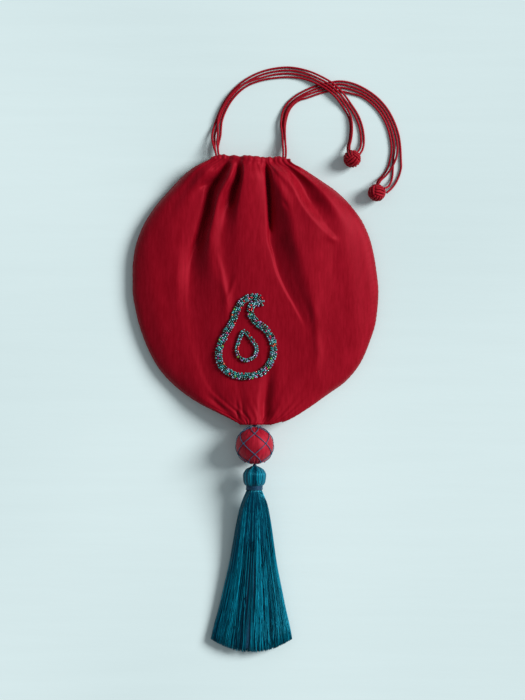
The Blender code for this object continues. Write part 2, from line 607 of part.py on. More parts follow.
def tassel_centre(along):
    """Middle of the tassel at a distance from its top, drooping from the thread to the table."""
    neck = HEAD_LENGTH + BINDING_TURNS * BINDING_THREAD
    rest = (along - neck) / SKIRT_LENGTH
    foot = FOOT_HEIGHT / 2 + 0.1 * MM
    drop = LINK_HEIGHT - foot
    height = smooth_value([(0, foot + drop), (0.08, foot + 0.76 * drop), (0.2, foot + 0.46 * drop),
                           (0.44, foot + 0.17 * drop), (0.68, foot + 0.05 * drop), (0.9, foot),
                           (1, foot)], rest)
    return TASSEL_LINK.x + TASSEL_LEAN * along / (neck + SKIRT_LENGTH), float(height)


def make_tassel():
    """One bundle of silk threads: a round head, a bound neck, and a skirt that fans out."""
    head, neck, foot = HEAD_WIDTH / 2, NECK_WIDTH / 2, FOOT_WIDTH / 2
    binding = BINDING_TURNS * BINDING_THREAD
    socket = LINK_KNOT / 2 + TOUCH_GAP
    gap = 0.4 * MM
    sections = [
        (socket + 0.3 * MM, 0.45 * MM, 0.45 * MM), (socket - 0.15 * MM, 1.6 * MM, 1.6 * MM),
        (0.5 * MM, socket + 0.35 * MM, socket + 0.35 * MM),
        (0.06 * HEAD_LENGTH + 0.3 * MM, 0.5 * head, 0.5 * head),
        (0.2 * HEAD_LENGTH, 0.78 * head, 0.78 * head), (0.45 * HEAD_LENGTH, head, head),
        (0.78 * HEAD_LENGTH, 0.96 * head, 0.96 * head),
        (HEAD_LENGTH - 0.6 * MM, 0.82 * head, 0.82 * head), (HEAD_LENGTH - gap, neck, neck),
        (HEAD_LENGTH + binding + gap, neck, neck),
        (HEAD_LENGTH + binding + 2 * MM, 1.2 * neck, 1.08 * neck),
    ]
    skirt = [(0.08, 0.335, 1.6), (0.2, 0.44, 1.55), (0.44, 0.59, 1.33), (0.68, 0.79, 1.13),
             (0.86, 0.92, 1.0), (1, 1, 1)]
    start = HEAD_LENGTH + binding
    sections += [(start + share * SKIRT_LENGTH, wide * foot, high * FOOT_HEIGHT / 2)
                 for share, wide, high in skirt]
    rows = []
    length = start + SKIRT_LENGTH
    for along, half_width, half_height in sections:
        x, z = tassel_centre(along)
        curved = ease((along / length - 0.7) / 0.3)
        row = []
        for i in range(2 * STRAND_RIDGES):
            angle = math.pi * i / STRAND_RIDGES
            ridge = STRAND_RIDGE * min(1, half_width / head) * (i % 2)
            dx = (half_width - ridge) * math.cos(angle)
            dz = (half_height - ridge) * math.sin(angle)
            y = TASSEL_LINK.y - along + curved * FOOT_ARC * (dx / foot) ** 2
            row.append((x + dx, y, z + dz))
        rows.append(row)
    mesh = mesh_of_rows("tassel_threads", rows, closed_round=True, capped=True)
    new_object("tassel_threads", mesh, TEAL, 0.4)
    make_binding(neck, binding)


def make_binding(neck, length):
    """Thread wound round the tassel's neck, turn beside turn."""
    inner = neck + TOUCH_GAP
    half = BINDING_THREAD / 2
    profile = [(inner, -length / 2), (inner, length / 2)]
    for turn in range(BINDING_TURNS):
        y = length / 2 - (turn + 0.5) * BINDING_THREAD
        profile += [(inner + 1.3 * half, y + 0.9 * half), (inner + 2 * half, y),
                    (inner + 1.3 * half, y - 0.9 * half)]
    binding = turned("tassel_binding", profile, 20, DARK_TEAL, 0.4)
    along = HEAD_LENGTH + length / 2
    x, z = tassel_centre(along)
    binding.location = (x, TASSEL_LINK.y - along, z)


def surface_tree(obj):
    """Search tree of an object's finished surface."""
    bpy.context.view_layer.update()
    graph = bpy.context.evaluated_depsgraph_get()
    return BVHTree.FromObject(obj, graph)


def bead_band(name, outline, tree, width, start_step):
    """Flat band of beads along a closed outline, laid on the cloth."""
    height = BEAD_HEIGHT
    flat = [(MOTIF_X + x * MOTIF_HEIGHT, MOTIF_Y + y * MOTIF_HEIGHT, 0) for x, y in outline]
    path = smooth_path(flat, start_step, closed=True)
    points = []
    for i, (x, y, _) in enumerate(path):
        way = Vector(path[(i + 1) % len(path)] - path[i - 1]).normalized()
        tops = []
        for share in (-1, -0.5, 0, 0.5, 1):
            side = Vector((-way.y, way.x, 0)) * share * width / 2
            hit = tree.ray_cast(Vector((x, y, 0.1)) + side, Vector((0, 0, -1)))[0]
            tops.append(hit.z)
        points.append(Vector((x, y, max(tops) + TOUCH_GAP + height / 2 + 0.1 * MM)))
    guide = bpy.data.curves.new(name + "_section", "CURVE")
    spline = guide.splines.new("POLY")
    spline.points.add(7)
    for i, point in enumerate(spline.points):
        angle = -math.pi * (i + 0.5) / 4
        point.co = (0.5 * width * math.cos(angle), 0.5 * height * math.sin(angle), 0, 1)
    spline.use_cyclic_u = True
    section = bpy.data.objects.new(name + "_section", guide)
    guides.objects.link(section)
    section.hide_render = True
    section.display_type = "WIRE"
    swell = [1 if i % 2 else 0.86 for i in range(len(points))]
    band = tube(name, points, width, BEADS, cyclic=True, swell=swell)
    band.data.bevel_mode = "OBJECT"
    band.data.bevel_object = section
    band.data.twist_mode = "Z_UP"
    return band


def make_motif(front):
    tree = surface_tree(front)
    bead_band("paisley_rim_beads", PAISLEY, tree, BEAD_BAND, BEAD_PITCH)
    bead_band("paisley_heart_beads", HEART, tree, 0.6 * BEAD_BAND, BEAD_PITCH)


for old in list(bpy.data.objects):
    bpy.data.objects.remove(old)
bag = bpy.data.collections.new("potli_bag")
guides = bpy.data.collections.new("guides")
bpy.context.scene.collection.children.link(bag)
bpy.context.scene.collection.children.link(guides)
front_panel = make_panels()
make_drawstrings()
make_ball()
make_net()
make_links()
make_tassel()
make_motif(front_panel)
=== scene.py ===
"""Looks of the potli bag: cloth, cords, beads, net and tassel threads, laid over the part's frame.

The frame is the part's own: +X to the right, +Y from the tassel to the mouth, +Z up from the
table. Lengths are in metres, apart from lists that say mm.
"""

import math

import bpy
import numpy as np
from mathutils import Euler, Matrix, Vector
from mathutils.bvhtree import BVHTree


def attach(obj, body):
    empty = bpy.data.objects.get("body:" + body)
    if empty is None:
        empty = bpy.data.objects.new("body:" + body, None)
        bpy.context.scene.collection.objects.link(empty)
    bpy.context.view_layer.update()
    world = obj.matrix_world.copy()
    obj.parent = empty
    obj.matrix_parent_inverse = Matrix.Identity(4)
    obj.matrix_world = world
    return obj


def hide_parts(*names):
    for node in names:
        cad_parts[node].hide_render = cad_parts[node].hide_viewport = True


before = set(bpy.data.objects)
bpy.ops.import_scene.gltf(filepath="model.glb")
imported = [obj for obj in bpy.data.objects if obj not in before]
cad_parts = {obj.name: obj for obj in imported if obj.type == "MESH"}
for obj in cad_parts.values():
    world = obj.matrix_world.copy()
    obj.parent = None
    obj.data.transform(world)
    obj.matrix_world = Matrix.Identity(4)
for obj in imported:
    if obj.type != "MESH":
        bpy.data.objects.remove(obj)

MM = 0.001
TURN = 2 * math.pi
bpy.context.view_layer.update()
SEED = 11

# Camera, floor and light
VIEW_X = 5.6 * MM
VIEW_Y = -48 * MM
VIEW_HEIGHT = 560 * MM
CAMERA_DISTANCE = 2.4
SENSOR_WIDTH = 36
FLOOR_REACH = 8.0
WINDOW_SIDE = (2.4, 0.93, 1.68)
WINDOW_SPREAD = math.radians(26)
WINDOW_STRENGTH = 4.25
WINDOW_COLOR = (1.0, 0.985, 0.97)
SKY_COLOR = (0.94, 0.98, 1.0, 1)
SKY_STRENGTH = 0.315

# Cloth of the bag
BAG_WIDTH = 195 * MM
MOUTH_Y = 105.8 * MM
BOTTOM_Y = -107.4 * MM
CLOTH = 0.5 * MM
SEAM_HEIGHT = 4.6 * MM
SEAM_GAP = 0.6 * MM
SEAM_TURN = 9 * MM
SEAM_ROLL = 1.9 * MM
FRONT_HEIGHT = 17.5 * MM
MOUTH_LEFT = -26 * MM
MOUTH_RIGHT = 18.5 * MM
SHOULDER_LEFT = -35 * MM
SHOULDER_RIGHT = 27.6 * MM
MOUTH_LEFT_RISE = 1.8 * MM
MOUTH_SLIT = 5.4 * MM
MOUTH_END_SLIT = 1.1 * MM
BOTTOM_WIDTH = 24 * MM
GATHER_RISE = 2.2 * MM
CASING_SCALLOP = 1.3 * MM
FRONT_ROWS = 180
BACK_COLUMNS = 120
BACK_ROWS = 120

# Drawstrings
CORD = 1.8 * MM
CORD_GAP = 0.25 * MM
TOUCH_GAP = 0.3 * MM
TABLE_GAP = 0.05 * MM
CORD_TURN = 3.6 * MM
CORD_PLIES = 3
CORD_LAY = 6.5 * MM
KNOT_DIAMETER = 14.4 * MM
KNOT_CORD = 1.95 * MM
LEFT_KNOT_X = 77.1 * MM
LEFT_KNOT_Y = 104.5 * MM
LEFT_KNOT_TILT = (24, -18, 38)
RIGHT_KNOT_X = 96.7 * MM
RIGHT_KNOT_Y = 77.5 * MM
RIGHT_KNOT_TILT = (-20, 26, -12)

# Ball, its net, and the thread that carries ball and tassel
BALL_DIAMETER = 29.8 * MM
BALL_X = -0.6 * MM
NET_THREAD = 0.8 * MM
NET_GAP = 0.2 * MM
NET_ROWS = 4
NET_POINTS = 5
NET_NODES = 5
NET_LEVELS = (17, 148)
NET_KNOT = 1.5 * MM
LINK_KNOT = 3.6 * MM
LINK_GAP = 1.4 * MM

# Tassel
HEAD_WIDTH = 18.4 * MM
HEAD_LENGTH = 15.6 * MM
NECK_WIDTH = 11.8 * MM
BINDING_TURNS = 4
BINDING_THREAD = 0.9 * MM
SKIRT_LENGTH = 130 * MM
FOOT_WIDTH = 66 * MM
FOOT_HEIGHT = 8.6 * MM
FOOT_ARC = 10.9 * MM
TASSEL_LEAN = -2.6 * MM
HEAD_THREADS = 150
SKIRT_THREADS = 1500
SKIRT_LOCKS = 64
SILK_THREAD = 0.55 * MM
# Share of skirt threads that are short navy ones over the top, below the binding: painted shade
SHORT_SHADE_THREADS = 0.26
LOCK_COLOR_SHARE = 0.75
SKIRT_MIDDLE_DARK = 0.9
HEAD_MIDDLE_DARK = 3.4

# Bead motif
BEAD_BAND = 6.2 * MM
BEAD_WIDTH = 1.75 * MM
BEAD_LENGTH = 1.35 * MM
BEAD_ROW_STEP = 1.7 * MM
BEAD_ROW_SLANT = 22
MOTIF_X = -8 * MM
MOTIF_Y = -38 * MM
MOTIF_HEIGHT = 62 * MM

# Sizes that follow from those above
HALF_WIDTH = BAG_WIDTH / 2
CAD_CLOTH = 0.7 * MM
STRAND_STEP = CORD + CORD_GAP
CASING_INNER = STRAND_STEP / math.sqrt(2) + CORD / 2 + CORD_GAP
CASING_MIDDLE = CASING_INNER + CAD_CLOTH / 2
CASING_OUTER = CASING_INNER + CAD_CLOTH
CASING_Y = MOUTH_Y - CASING_OUTER
BACK_CASING_Z = CASING_OUTER
FRONT_CASING_Z = 3 * CASING_OUTER + MOUTH_END_SLIT
BALL_RADIUS = BALL_DIAMETER / 2
LINK_HEIGHT = BALL_RADIUS + NET_GAP + NET_THREAD
LINK_REACH = BALL_RADIUS + LINK_GAP
BAG_LINK = Vector((BALL_X, BOTTOM_Y - 0.2 * MM, LINK_HEIGHT))
BALL_CENTRE = BAG_LINK - Vector((0, LINK_REACH, 0))
TASSEL_LINK = BALL_CENTRE - Vector((0, LINK_REACH, 0))
GATHER_HALF = LINK_KNOT / 2 + TOUCH_GAP + CAD_CLOTH / 2
BINDING_LENGTH = BINDING_TURNS * BINDING_THREAD
SKIRT_TOP = HEAD_LENGTH + BINDING_LENGTH

# The cloth's edge, as (share of half the bag's width, share of the way from mouth to bottom)
LEFT_EDGE = [
    (0.41, 0.012), (0.528, 0.042), (0.717, 0.128), (0.835, 0.193), (0.929, 0.268), (0.984, 0.347),
    (1.0, 0.418), (1.0, 0.489), (0.971, 0.578), (0.913, 0.67), (0.803, 0.775), (0.678, 0.843),
    (0.48, 0.911), (0.284, 0.957), (0.183, 0.98),
]
RIGHT_EDGE = [
    (0.31, 0.012), (0.36, 0.024), (0.54, 0.078), (0.659, 0.117), (0.776, 0.171), (0.879, 0.239),
    (0.942, 0.314), (0.981, 0.407), (1.0, 0.496), (0.981, 0.602), (0.926, 0.688), (0.855, 0.763),
    (0.737, 0.832), (0.58, 0.885), (0.423, 0.936), (0.25, 0.982),
]
# The front's middle, as (share of the way from mouth to bottom, share of FRONT_HEIGHT)
CROWN = [(0, 1.02), (0.08, 1.2), (0.25, 1.14), (0.5, 1.0), (0.75, 0.9), (0.9, 0.92)]

# Folds of the front: the y in mm of each row, then each fold line's (x, rise) in mm at these rows
FOLD_ROWS = [102.4, 98, 94, 88, 80, 72, 62, 52, 40, 28, 16, 0, -16, -32, -56, -80, -96, -107.2]
FOLD_LINES = {
    "left_lobe": [
        (-31, 0), (-38, 0), (-43, -0.3), (-50, -0.8), (-56, -1.3), (-59, -1.7), (-60, -1.7),
        (-61, -1.6), (-61, -1.3), (-61.5, -1), (-62.5, -0.6), (-63, -0.1), (-64, 0.1), (-65, 0.1),
        (-58, 0), (-43, 0), (-23, 0), (-11.6, 0)],
    "left_knee": [
        (-23, -1), (-27, -2), (-31, -3), (-36, -4), (-41.5, -5), (-42, -5.4), (-44.5, -5.2),
        (-47.5, -4.8), (-50.5, -4), (-54, -3.6), (-56, -3), (-56.6, -1.8), (-57, -1), (-55, -0.5),
        (-49, -0.3), (-38, -0.3), (-19, -0.4), (-11, 0)],
    "left_valley": [
        (-21, -2), (-23.4, -5), (-26.4, -7.5), (-30.6, -9.5), (-36, -10.5), (-37, -10.5),
        (-38.6, -10), (-42, -9.6), (-45.6, -8.8), (-49.4, -7), (-51.4, -5), (-52, -3), (-52, -1.8),
        (-50, -1), (-44, -0.8), (-34, -0.8), (-16, -1), (-10.4, 0)],
    "second_crest": [
        (-16.6, 0.6), (-17.6, 1), (-18.6, 1.2), (-20.6, 1.6), (-25, 1.6), (-29, 1.4),
        (-31.4, 1.3), (-33.4, 1.2), (-35.6, 1), (-35.2, 0.8), (-33.4, 0.7), (-26.6, 0.6),
        (-21.6, 0.4), (-19, 0.2), (-21, 0), (-20, 0), (-13, 0), (-8.6, 0)],
    "second_valley": [
        (-12.4, -1.5), (-12.6, -4), (-12.8, -6), (-13.8, -7.5), (-17.4, -7.6), (-19.6, -7),
        (-22.6, -4.4), (-24.6, -2.4), (-26, -1.4), (-25, -1.2), (-22.6, -1.2), (-18.5, -0.8),
        (-15.5, -0.4), (-14, -0.2), (-14, 0), (-13, 0), (-9.6, -0.3), (-6.4, 0)],
    "middle_left": [
        (-9.2, 0.6), (-8.8, 1.4), (-8.8, 2), (-9.4, 2.4), (-10.6, 2.4), (-11.8, 2), (-13, 1.4),
        (-13.4, 0.8), (-13.6, 0.4), (-13, 0), (-12.6, -0.2), (-10, -0.2), (-7.6, 0), (-6.8, 0),
        (-6.8, 0), (-6.8, 0.4), (-5.8, 0.8), (-3.6, 0.4)],
    "middle_right": [
        (4, 0), (5, -0.4), (6, -0.9), (6.8, -1.3), (7.4, -1.6), (8, -1.8), (8.4, -1.8),
        (8.6, -2), (9, -2.2), (12, -2.2), (14.6, -1.6), (21.6, -1.1), (30.4, -0.7), (37, -0.2),
        (30, 0), (16, 0), (8.4, 0.4), (2.4, 0.3)],
    "third_valley": [
        (7.6, -2), (8.4, -4.5), (9, -6), (9.6, -7), (10, -7.4), (10.6, -7.6), (10.8, -7.4),
        (11, -7), (11.6, -5.4), (14.6, -4), (17.8, -3.1), (24.6, -2.3), (33.4, -1.5),
        (40, -0.4), (34, 0), (20, 0), (11, 0), (5, 0)],
    "fourth_shoulder": [
        (9, 0), (11, 0.3), (13, 0.8), (14.2, 0.8), (15, 0.4), (16, -0.6), (17.4, -1.8),
        (18.6, -3), (19.4, -2.8), (23.6, -1.6), (26.6, -1), (33, -0.5), (40, -0.2), (44, 0),
        (38, 0), (24, 0.2), (13.4, 0.1), (6, 0)],
    "fourth_crest": [
        (10.8, 0.6), (13.8, 1.4), (17, 2.2), (19.6, 2.6), (21.4, 3), (24.4, 3.2), (29, 3.2),
        (32.4, 3.4), (33, 4.6), (36.6, 4.2), (40, 3.6), (44.4, 3), (48, 2.2), (51.6, 1), (46, 0.4),
        (30, 0.4), (17, 0.4), (7.8, 0.1)],
    "pulled_crest": [
        (13.4, 0.6), (17.8, 1.2), (22, 1.9), (25.6, 2.5), (29.4, 3), (33, 3.3), (39, 3.5),
        (47, 3.2), (57, 2.2), (57, 1.6), (56.6, 1.2), (57, 0.9), (59, 0.6), (60, 0.3), (54, 0.2),
        (36, 0.2), (20, 0.2), (9, 0)],
    "right_valley": [
        (15.6, -0.4), (22.4, -1.2), (27.6, -2), (34, -3.4), (39, -4.4), (43, -4.6), (49.6, -2.2),
        (57, 0.2), (65, 0.6), (63, 0.5), (62, 0.4), (63, 0.3), (64, 0.2), (65, 0.1), (59, 0),
        (42, 0), (24, 0), (10, 0)],
    "right_lobe": [
        (22, 0.2), (29, 0.6), (34.5, 1), (43, 1.6), (52, 1.8), (58, 1.6), (65, 1.2), (69, 0.8),
        (72, 0.4), (72, 0.2), (72, 0.1), (72, 0), (73, 0), (73, 0), (66, 0), (49, 0), (29, 0),
        (11, 0)],
}
# Columns of the front's mesh from its left edge over each fold line to its right edge
COLUMNS_BETWEEN_FOLDS = [34, 16, 8, 12, 10, 10, 22, 6, 10, 14, 8, 10, 16, 32]
# Folds that run over the casing, with the width of their notch as a share of the casing's length
CASING_NOTCHES = {"left_valley": 0.035, "second_valley": 0.035, "middle_right": 0.02,
                  "third_valley": 0.035, "pulled_crest": 0.03}
BACK_GATHERS = 5
CASING_WRAP = math.radians(262)
CASING_STEPS = 16

# Small creases of the front, in mm: (half width, [(x, y, rise), ...])
CREASES = [
    (2.0, [(-21, 102, 0), (-24.4, 95, -3), (-28, 89.5, -5), (-32, 84, -6), (-34.6, 78, -6),
           (-36, 70, -5), (-37, 61, -4.5), (-40, 51, -4), (-43.4, 40, -2.4), (-46, 29, 0)]),
    (1.7, [(-12.6, 99, 0), (-12.6, 93, -3), (-13.2, 87, -5.6), (-16, 79, -6),
           (-17.6, 71, -5), (-20, 64, 0)]),
    (1.4, [(8.6, 99, 0), (9.8, 88, -3), (10.8, 72, -5), (11.2, 56, -5.4), (12, 44, 0)]),
    (1.8, [(-31, 91, 0), (-36, 87, -1.6), (-40, 84, -1.8), (-44, 80, 0)]),
    (3.0, [(-33, 96, 0), (-39, 91.5, 1.2), (-46, 85, 1.0), (-51, 79, 0)]),
    (2.0, [(-31, 30, 0), (-27, 14, 0.8), (-24, -4, 0.9), (-23.5, -30, 0.6), (-24, -50, 0)]),
    (1.8, [(-14, 14, 0), (-18.5, 2, 1.0), (-22, -8, 0.9), (-24.5, -24, 0)]),
    (1.6, [(21, 73, 0), (23.5, 68, -0.8), (27, 62, 0)]),
    (1.4, [(1.5, 103, 0), (4, 97, 0.8), (5, 90, 0)]),
    (2.4, [(56, 44, 0), (61, 40.5, 1.2), (66, 37.5, 0)]),
    (2.4, [(-40, -82, 0), (-30, -91, -1.6), (-18, -102, -1.2), (-14, -105, 0)]),
    (1.2, [(-16, -84, 0), (-14.5, -92, -0.8), (-14, -102, -0.8), (-14, -106, 0)]),
    (1.0, [(-11, -86, 0), (-10.5, -94, -0.5), (-9.5, -103, 0)]),
    (3.0, [(44, 0, 0), (47, -20, 0.8), (50, -50, 0.9), (47, -75, 0)]),
    (4.2, [(11, -46, 0), (11, -62, -1.2), (9.5, -78, -3), (8, -90, -4.4), (7.5, -100, -4.4),
           (6, -107, -1.5)]),
]

# Routes of the free strands, in mm. A bundle has (x, y) points from the casing to where it parts.
# A strand has (offset to the left of its way, height) at each of them, then its own (x, y, z).
LEFT_BUNDLE = [
    (-31.2, 112.5), (-31.6, 118), (-31.2, 124.5), (-28.8, 136), (-24.2, 147.4), (-17.4, 157),
    (-8, 165.2), (3.6, 170.6), (15.6, 173.2), (27.6, 173.8), (39.6, 172), (50, 168),
    (59.4, 162.6), (67, 155.6),
]
LEFT_STRANDS = {
    "a": ([(1.5, 8.4), (2.6, 5.8), (3.3, 3.2), (2.3, 0.95), (2.1, 0.95), (2.1, 0.95), (2.4, 0.95),
           (3.2, 0.95), (3.9, 0.95), (4.1, 0.95), (3.6, 1.7), (3.3, 3.1), (3.3, 3.3), (3.3, 3.1)],
          [(75.6, 149.6, 1.4), (81.6, 140.4, 0.95), (85.4, 130.4, 0.95), (86.7, 120, 1.4),
           (85.6, 112.6, 4), (83, 108, 6.4)]),
    "b": ([(1.1, 3.6), (1.1, 2.2), (1.15, 1.1), (0.1, 0.95), (0, 0.95), (0, 0.95), (0.2, 0.95),
           (0.9, 0.95), (1.5, 0.95), (1.7, 0.95), (1.3, 1.7), (1.1, 3.1), (1.1, 3.2), (1.1, 2.9)],
          [(73.8, 148.4, 1.4), (79.4, 139.4, 0.95), (83.1, 130, 0.95), (84.4, 120.2, 1.2),
           (83.7, 113.6, 2.4), (81, 109.5, 4)]),
    "c": ([(-1.1, 8.2), (-1.1, 5.8), (-1.15, 3.8), (1.1, 3), (1.05, 2.95), (1.05, 2.95),
           (-0.2, 3.2), (-1.3, 2), (-0.9, 0.95), (-0.8, 0.95), (-1.1, 1.7), (-1.1, 3.1),
           (-1.1, 3.2), (-1.1, 2.9)],
          [(71.8, 147.4, 1.8), (76.2, 138, 2.7), (77.2, 128, 3.05), (76.2, 119.4, 3.4),
           (74.8, 113.4, 6), (75.2, 110, 8)]),
    "d": ([(-1.1, 3.6), (-2.4, 2.2), (-3.3, 1.1), (-2.1, 0.95), (-2.1, 0.95), (-2.1, 0.95),
           (-2.4, 0.95), (-3.2, 0.95), (-3.6, 0.95), (-3.6, 0.95), (-3.4, 1.7), (-3.3, 3.1),
           (-3.3, 3.2), (-3.3, 2.9)],
          [(69.8, 146.2, 1.4), (74.8, 137.4, 0.95), (76, 128, 0.95), (75, 119.4, 1.2),
           (73.4, 113.4, 3.4), (73.6, 110, 5.4)]),
}
RIGHT_BUNDLE = [
    (23.2, 111.5), (22.8, 117), (22.5, 124), (23, 134), (26.2, 144.6), (33, 151.8),
    (41.2, 156.6), (49.4, 160), (58.2, 162.2), (67.6, 163), (77.2, 161.4), (86.8, 157.4),
    (95.4, 151.2), (102.6, 143), (107.8, 133.4), (110.8, 123), (112, 113),
]
RIGHT_STRANDS = {
    "a": ([(1.05, 8.4), (1.05, 6), (1.2, 3.9), (2.7, 2.9), (3.3, 0.95), (3.3, 0.95), (3.3, 0.95),
           (3.3, 0.95), (3.3, 0.95), (3.9, 0.95), (3.7, 0.95), (3.2, 0.95), (3.2, 0.95),
           (3.2, 0.95), (3.2, 0.95), (3.7, 0.95), (3.9, 0.95)],
          [(116.2, 105, 0.95), (116.4, 98, 0.95), (114.2, 90, 0.95), (110, 82.6, 2.2),
           (104.6, 77.4, 4.4)]),
    "b": ([(1.05, 3.6), (1.05, 2.2), (1.05, 1.1), (1.05, 0.95), (1.1, 0.95), (1.1, 0.95),
           (1.1, 0.95), (1.1, 0.95), (1.1, 0.95), (1.6, 0.95), (1, 0.95), (1, 0.95), (1, 0.95),
           (1, 0.95), (1, 0.95), (1.4, 0.95), (1.5, 2)],
          [(112.2, 105, 3.2), (108.6, 97.4, 3.3), (104, 91.2, 3.4), (99.6, 87, 5.6),
           (97.6, 83.4, 8)]),
    "c": ([(-1.05, 8.4), (-1.05, 6), (-1.05, 3.9), (-0.2, 2.9), (0, 2.85), (0, 2.85), (-0.7, 2.2),
           (-1.1, 0.95), (-1.1, 0.95), (-1.1, 0.95), (-1.4, 0.95), (-1.2, 0.95), (-1.2, 0.95),
           (-1.2, 0.95), (-1.2, 0.95), (-1.1, 0.95), (-1, 0.95)],
          [(110.2, 104.4, 0.95), (109.8, 96, 0.95), (109, 88.6, 1.2), (106.4, 83, 4.4),
           (102.6, 80.8, 8.4)]),
    "d": ([(-1.05, 3.6), (-1.05, 2.2), (-1.05, 1.1), (-1.05, 0.95), (-1.1, 0.95), (-1.1, 0.95),
           (-2.9, 0.95), (-3.3, 0.95), (-3.3, 0.95), (-4, 0.95), (-4.4, 0.95), (-3.4, 0.95),
           (-3.4, 0.95), (-3.4, 0.95), (-3.4, 0.95), (-3.3, 0.95), (-3.3, 0.95)],
          [(107.6, 104.4, 0.95), (105.4, 97, 0.95), (101.4, 91, 1.2), (98, 87.4, 2.8),
           (96.4, 83.6, 5)]),
}

# Paisley of the bead motif as (x, y) in shares of its height, going round it
PAISLEY = [
    (0.02, -0.5), (0.2, -0.45), (0.33, -0.3), (0.36, -0.1), (0.28, 0.08), (0.14, 0.2),
    (0.06, 0.32), (0.1, 0.43), (0.2, 0.44), (0.14, 0.52), (0.0, 0.49), (-0.1, 0.37),
    (-0.17, 0.2), (-0.27, 0.02), (-0.34, -0.17), (-0.31, -0.35), (-0.17, -0.47),
]
HEART = [(0.02, -0.29), (0.12, -0.24), (0.14, -0.12), (0.06, 0.0), (-0.02, 0.08), (-0.08, -0.03),
         (-0.11, -0.16), (-0.07, -0.26)]

# Colours: the cloth's dark and light threads, cords, threads, tassel and floor
SILK_DARK = (0.184, 0.0012, 0.0065)
SILK_LIGHT = (0.25, 0.0034, 0.0125)
BALL_DARK = (0.22, 0.003, 0.011)
BALL_LIGHT = (0.38, 0.009, 0.026)
CORD_DARK = (0.17, 0.001, 0.006)
CORD_LIGHT = (0.34, 0.006, 0.018)
NET_DARK = (0.002, 0.012, 0.024)
NET_LIGHT = (0.012, 0.07, 0.14)
NET_CORD_DARK = (0.004, 0.03, 0.06)
NET_CORD_LIGHT = (0.03, 0.13, 0.24)
FLOOR_DARK = (0.62, 0.755, 0.775)
FLOOR_LIGHT = (0.68, 0.815, 0.835)

# Bead colours with how many of each hundred beads have them
BEAD_COLORS = [
    ("teal", (0.006, 0.17, 0.17), 26), ("turquoise", (0.03, 0.32, 0.32), 15),
    ("pale_blue", (0.17, 0.3, 0.4), 11), ("dark_green", (0.004, 0.05, 0.035), 19),
    ("black", (0.004, 0.006, 0.009), 14), ("lilac", (0.18, 0.13, 0.3), 5),
    ("red", (0.5, 0.008, 0.015), 4), ("magenta", (0.3, 0.006, 0.1), 3),
    ("lime", (0.12, 0.4, 0.06), 2), ("orange", (0.6, 0.09, 0.01), 1),
]
# Tassel colours with how many of each hundred locks have them
TASSEL_COLORS = [
    ("teal", (0.0, 0.055, 0.095), (0.0, 0.12, 0.185), 48),
    ("navy", (0.0, 0.007, 0.022), (0.0, 0.026, 0.06), 30),
    ("cyan", (0.0, 0.16, 0.25), (0.008, 0.33, 0.48), 22),
]
NAVY, CYAN = 1, 2


def smooth_value(points, where):
    """Value at each place of a smooth curve through (place, value) points, with no added bumps."""
    place, value = np.array(points, float).T
    step = np.diff(place)
    slope = np.diff(value) / step
    tangent = np.concatenate([slope[:1], np.zeros(len(place) - 2), slope[-1:]])
    product = slope[:-1] * slope[1:]
    rising = product > 0
    tangent[1:-1][rising] = 2 * product[rising] / (slope[:-1] + slope[1:])[rising]
    where = np.clip(where, place[0], place[-1])
    k = np.clip(np.searchsorted(place, where) - 1, 0, len(step) - 1)
    t = (where - place[k]) / step[k]
    start = value[k] * (1 + 2 * t) * (1 - t) ** 2 + tangent[k] * step[k] * t * (1 - t) ** 2
    end = value[k + 1] * t * t * (3 - 2 * t) + tangent[k + 1] * step[k] * t * t * (t - 1)
    return start + end


def ease(t):
    """0 below 0, 1 above 1, and a smooth step between them."""
    t = np.clip(t, 0, 1)
    return t * t * (3 - 2 * t)


def circle(corners):
    """Angles at an even step round a full turn."""
    return np.linspace(0, TURN, corners, endpoint=False)


def xyz(x, y, z):
    """Points from their three coordinates."""
    return np.stack(np.broadcast_arrays(x, y, z), axis=-1)


def lengths_along(path):
    """Distance of each point of a path from its start."""
    return np.concatenate([[0], np.cumsum(np.linalg.norm(np.diff(path, axis=0), axis=1))])


def from_edge(across):
    """Share of the cloth's width from its nearer side edge."""
    return np.minimum(across, 1 - across)


def edge_x(down):
    """The x of the cloth's left and right edges at a share of the way from mouth to bottom."""
    left = [(0, SHOULDER_LEFT)] + [(v, -x * HALF_WIDTH) for x, v in LEFT_EDGE]
    right = [(0, SHOULDER_RIGHT)] + [(v, x * HALF_WIDTH) for x, v in RIGHT_EDGE]
    left += [(1, -BOTTOM_WIDTH / 2)]
    right += [(1, BOTTOM_WIDTH / 2)]
    return smooth_value(left, down), smooth_value(right, down)


def casing_y(across):
    """Middle of the casing, which stands a little higher at its left end."""
    return CASING_Y + MOUTH_LEFT_RISE * (1 - across) ** 2


def front_casing_z(across):
    """Middle of the front casing, which arches over the mouth."""
    return FRONT_CASING_Z + (MOUTH_SLIT - MOUTH_END_SLIT) * ease(1 - np.abs(2 * across - 1))


def top_x(across):
    """The x of the cloth's top edge at a share across it."""
    return SHOULDER_LEFT + (SHOULDER_RIGHT - SHOULDER_LEFT) * across


def mouth_share(across):
    """Share of the way along the cords in the casing, at a share across the cloth's top edge."""
    return np.clip((top_x(across) - MOUTH_LEFT) / (MOUTH_RIGHT - MOUTH_LEFT), 0, 1)


def plan(across, down):
    """The x and y of the cloth at its shares across and down."""
    left, right = edge_x(down)
    top = casing_y(mouth_share(across))
    return left + (right - left) * across, top + (BOTTOM_Y - top) * down


def bottom_gather(down):
    """0 over most of the cloth, rising to 1 at its gathered bottom."""
    return ease((down - 0.84) / 0.16)


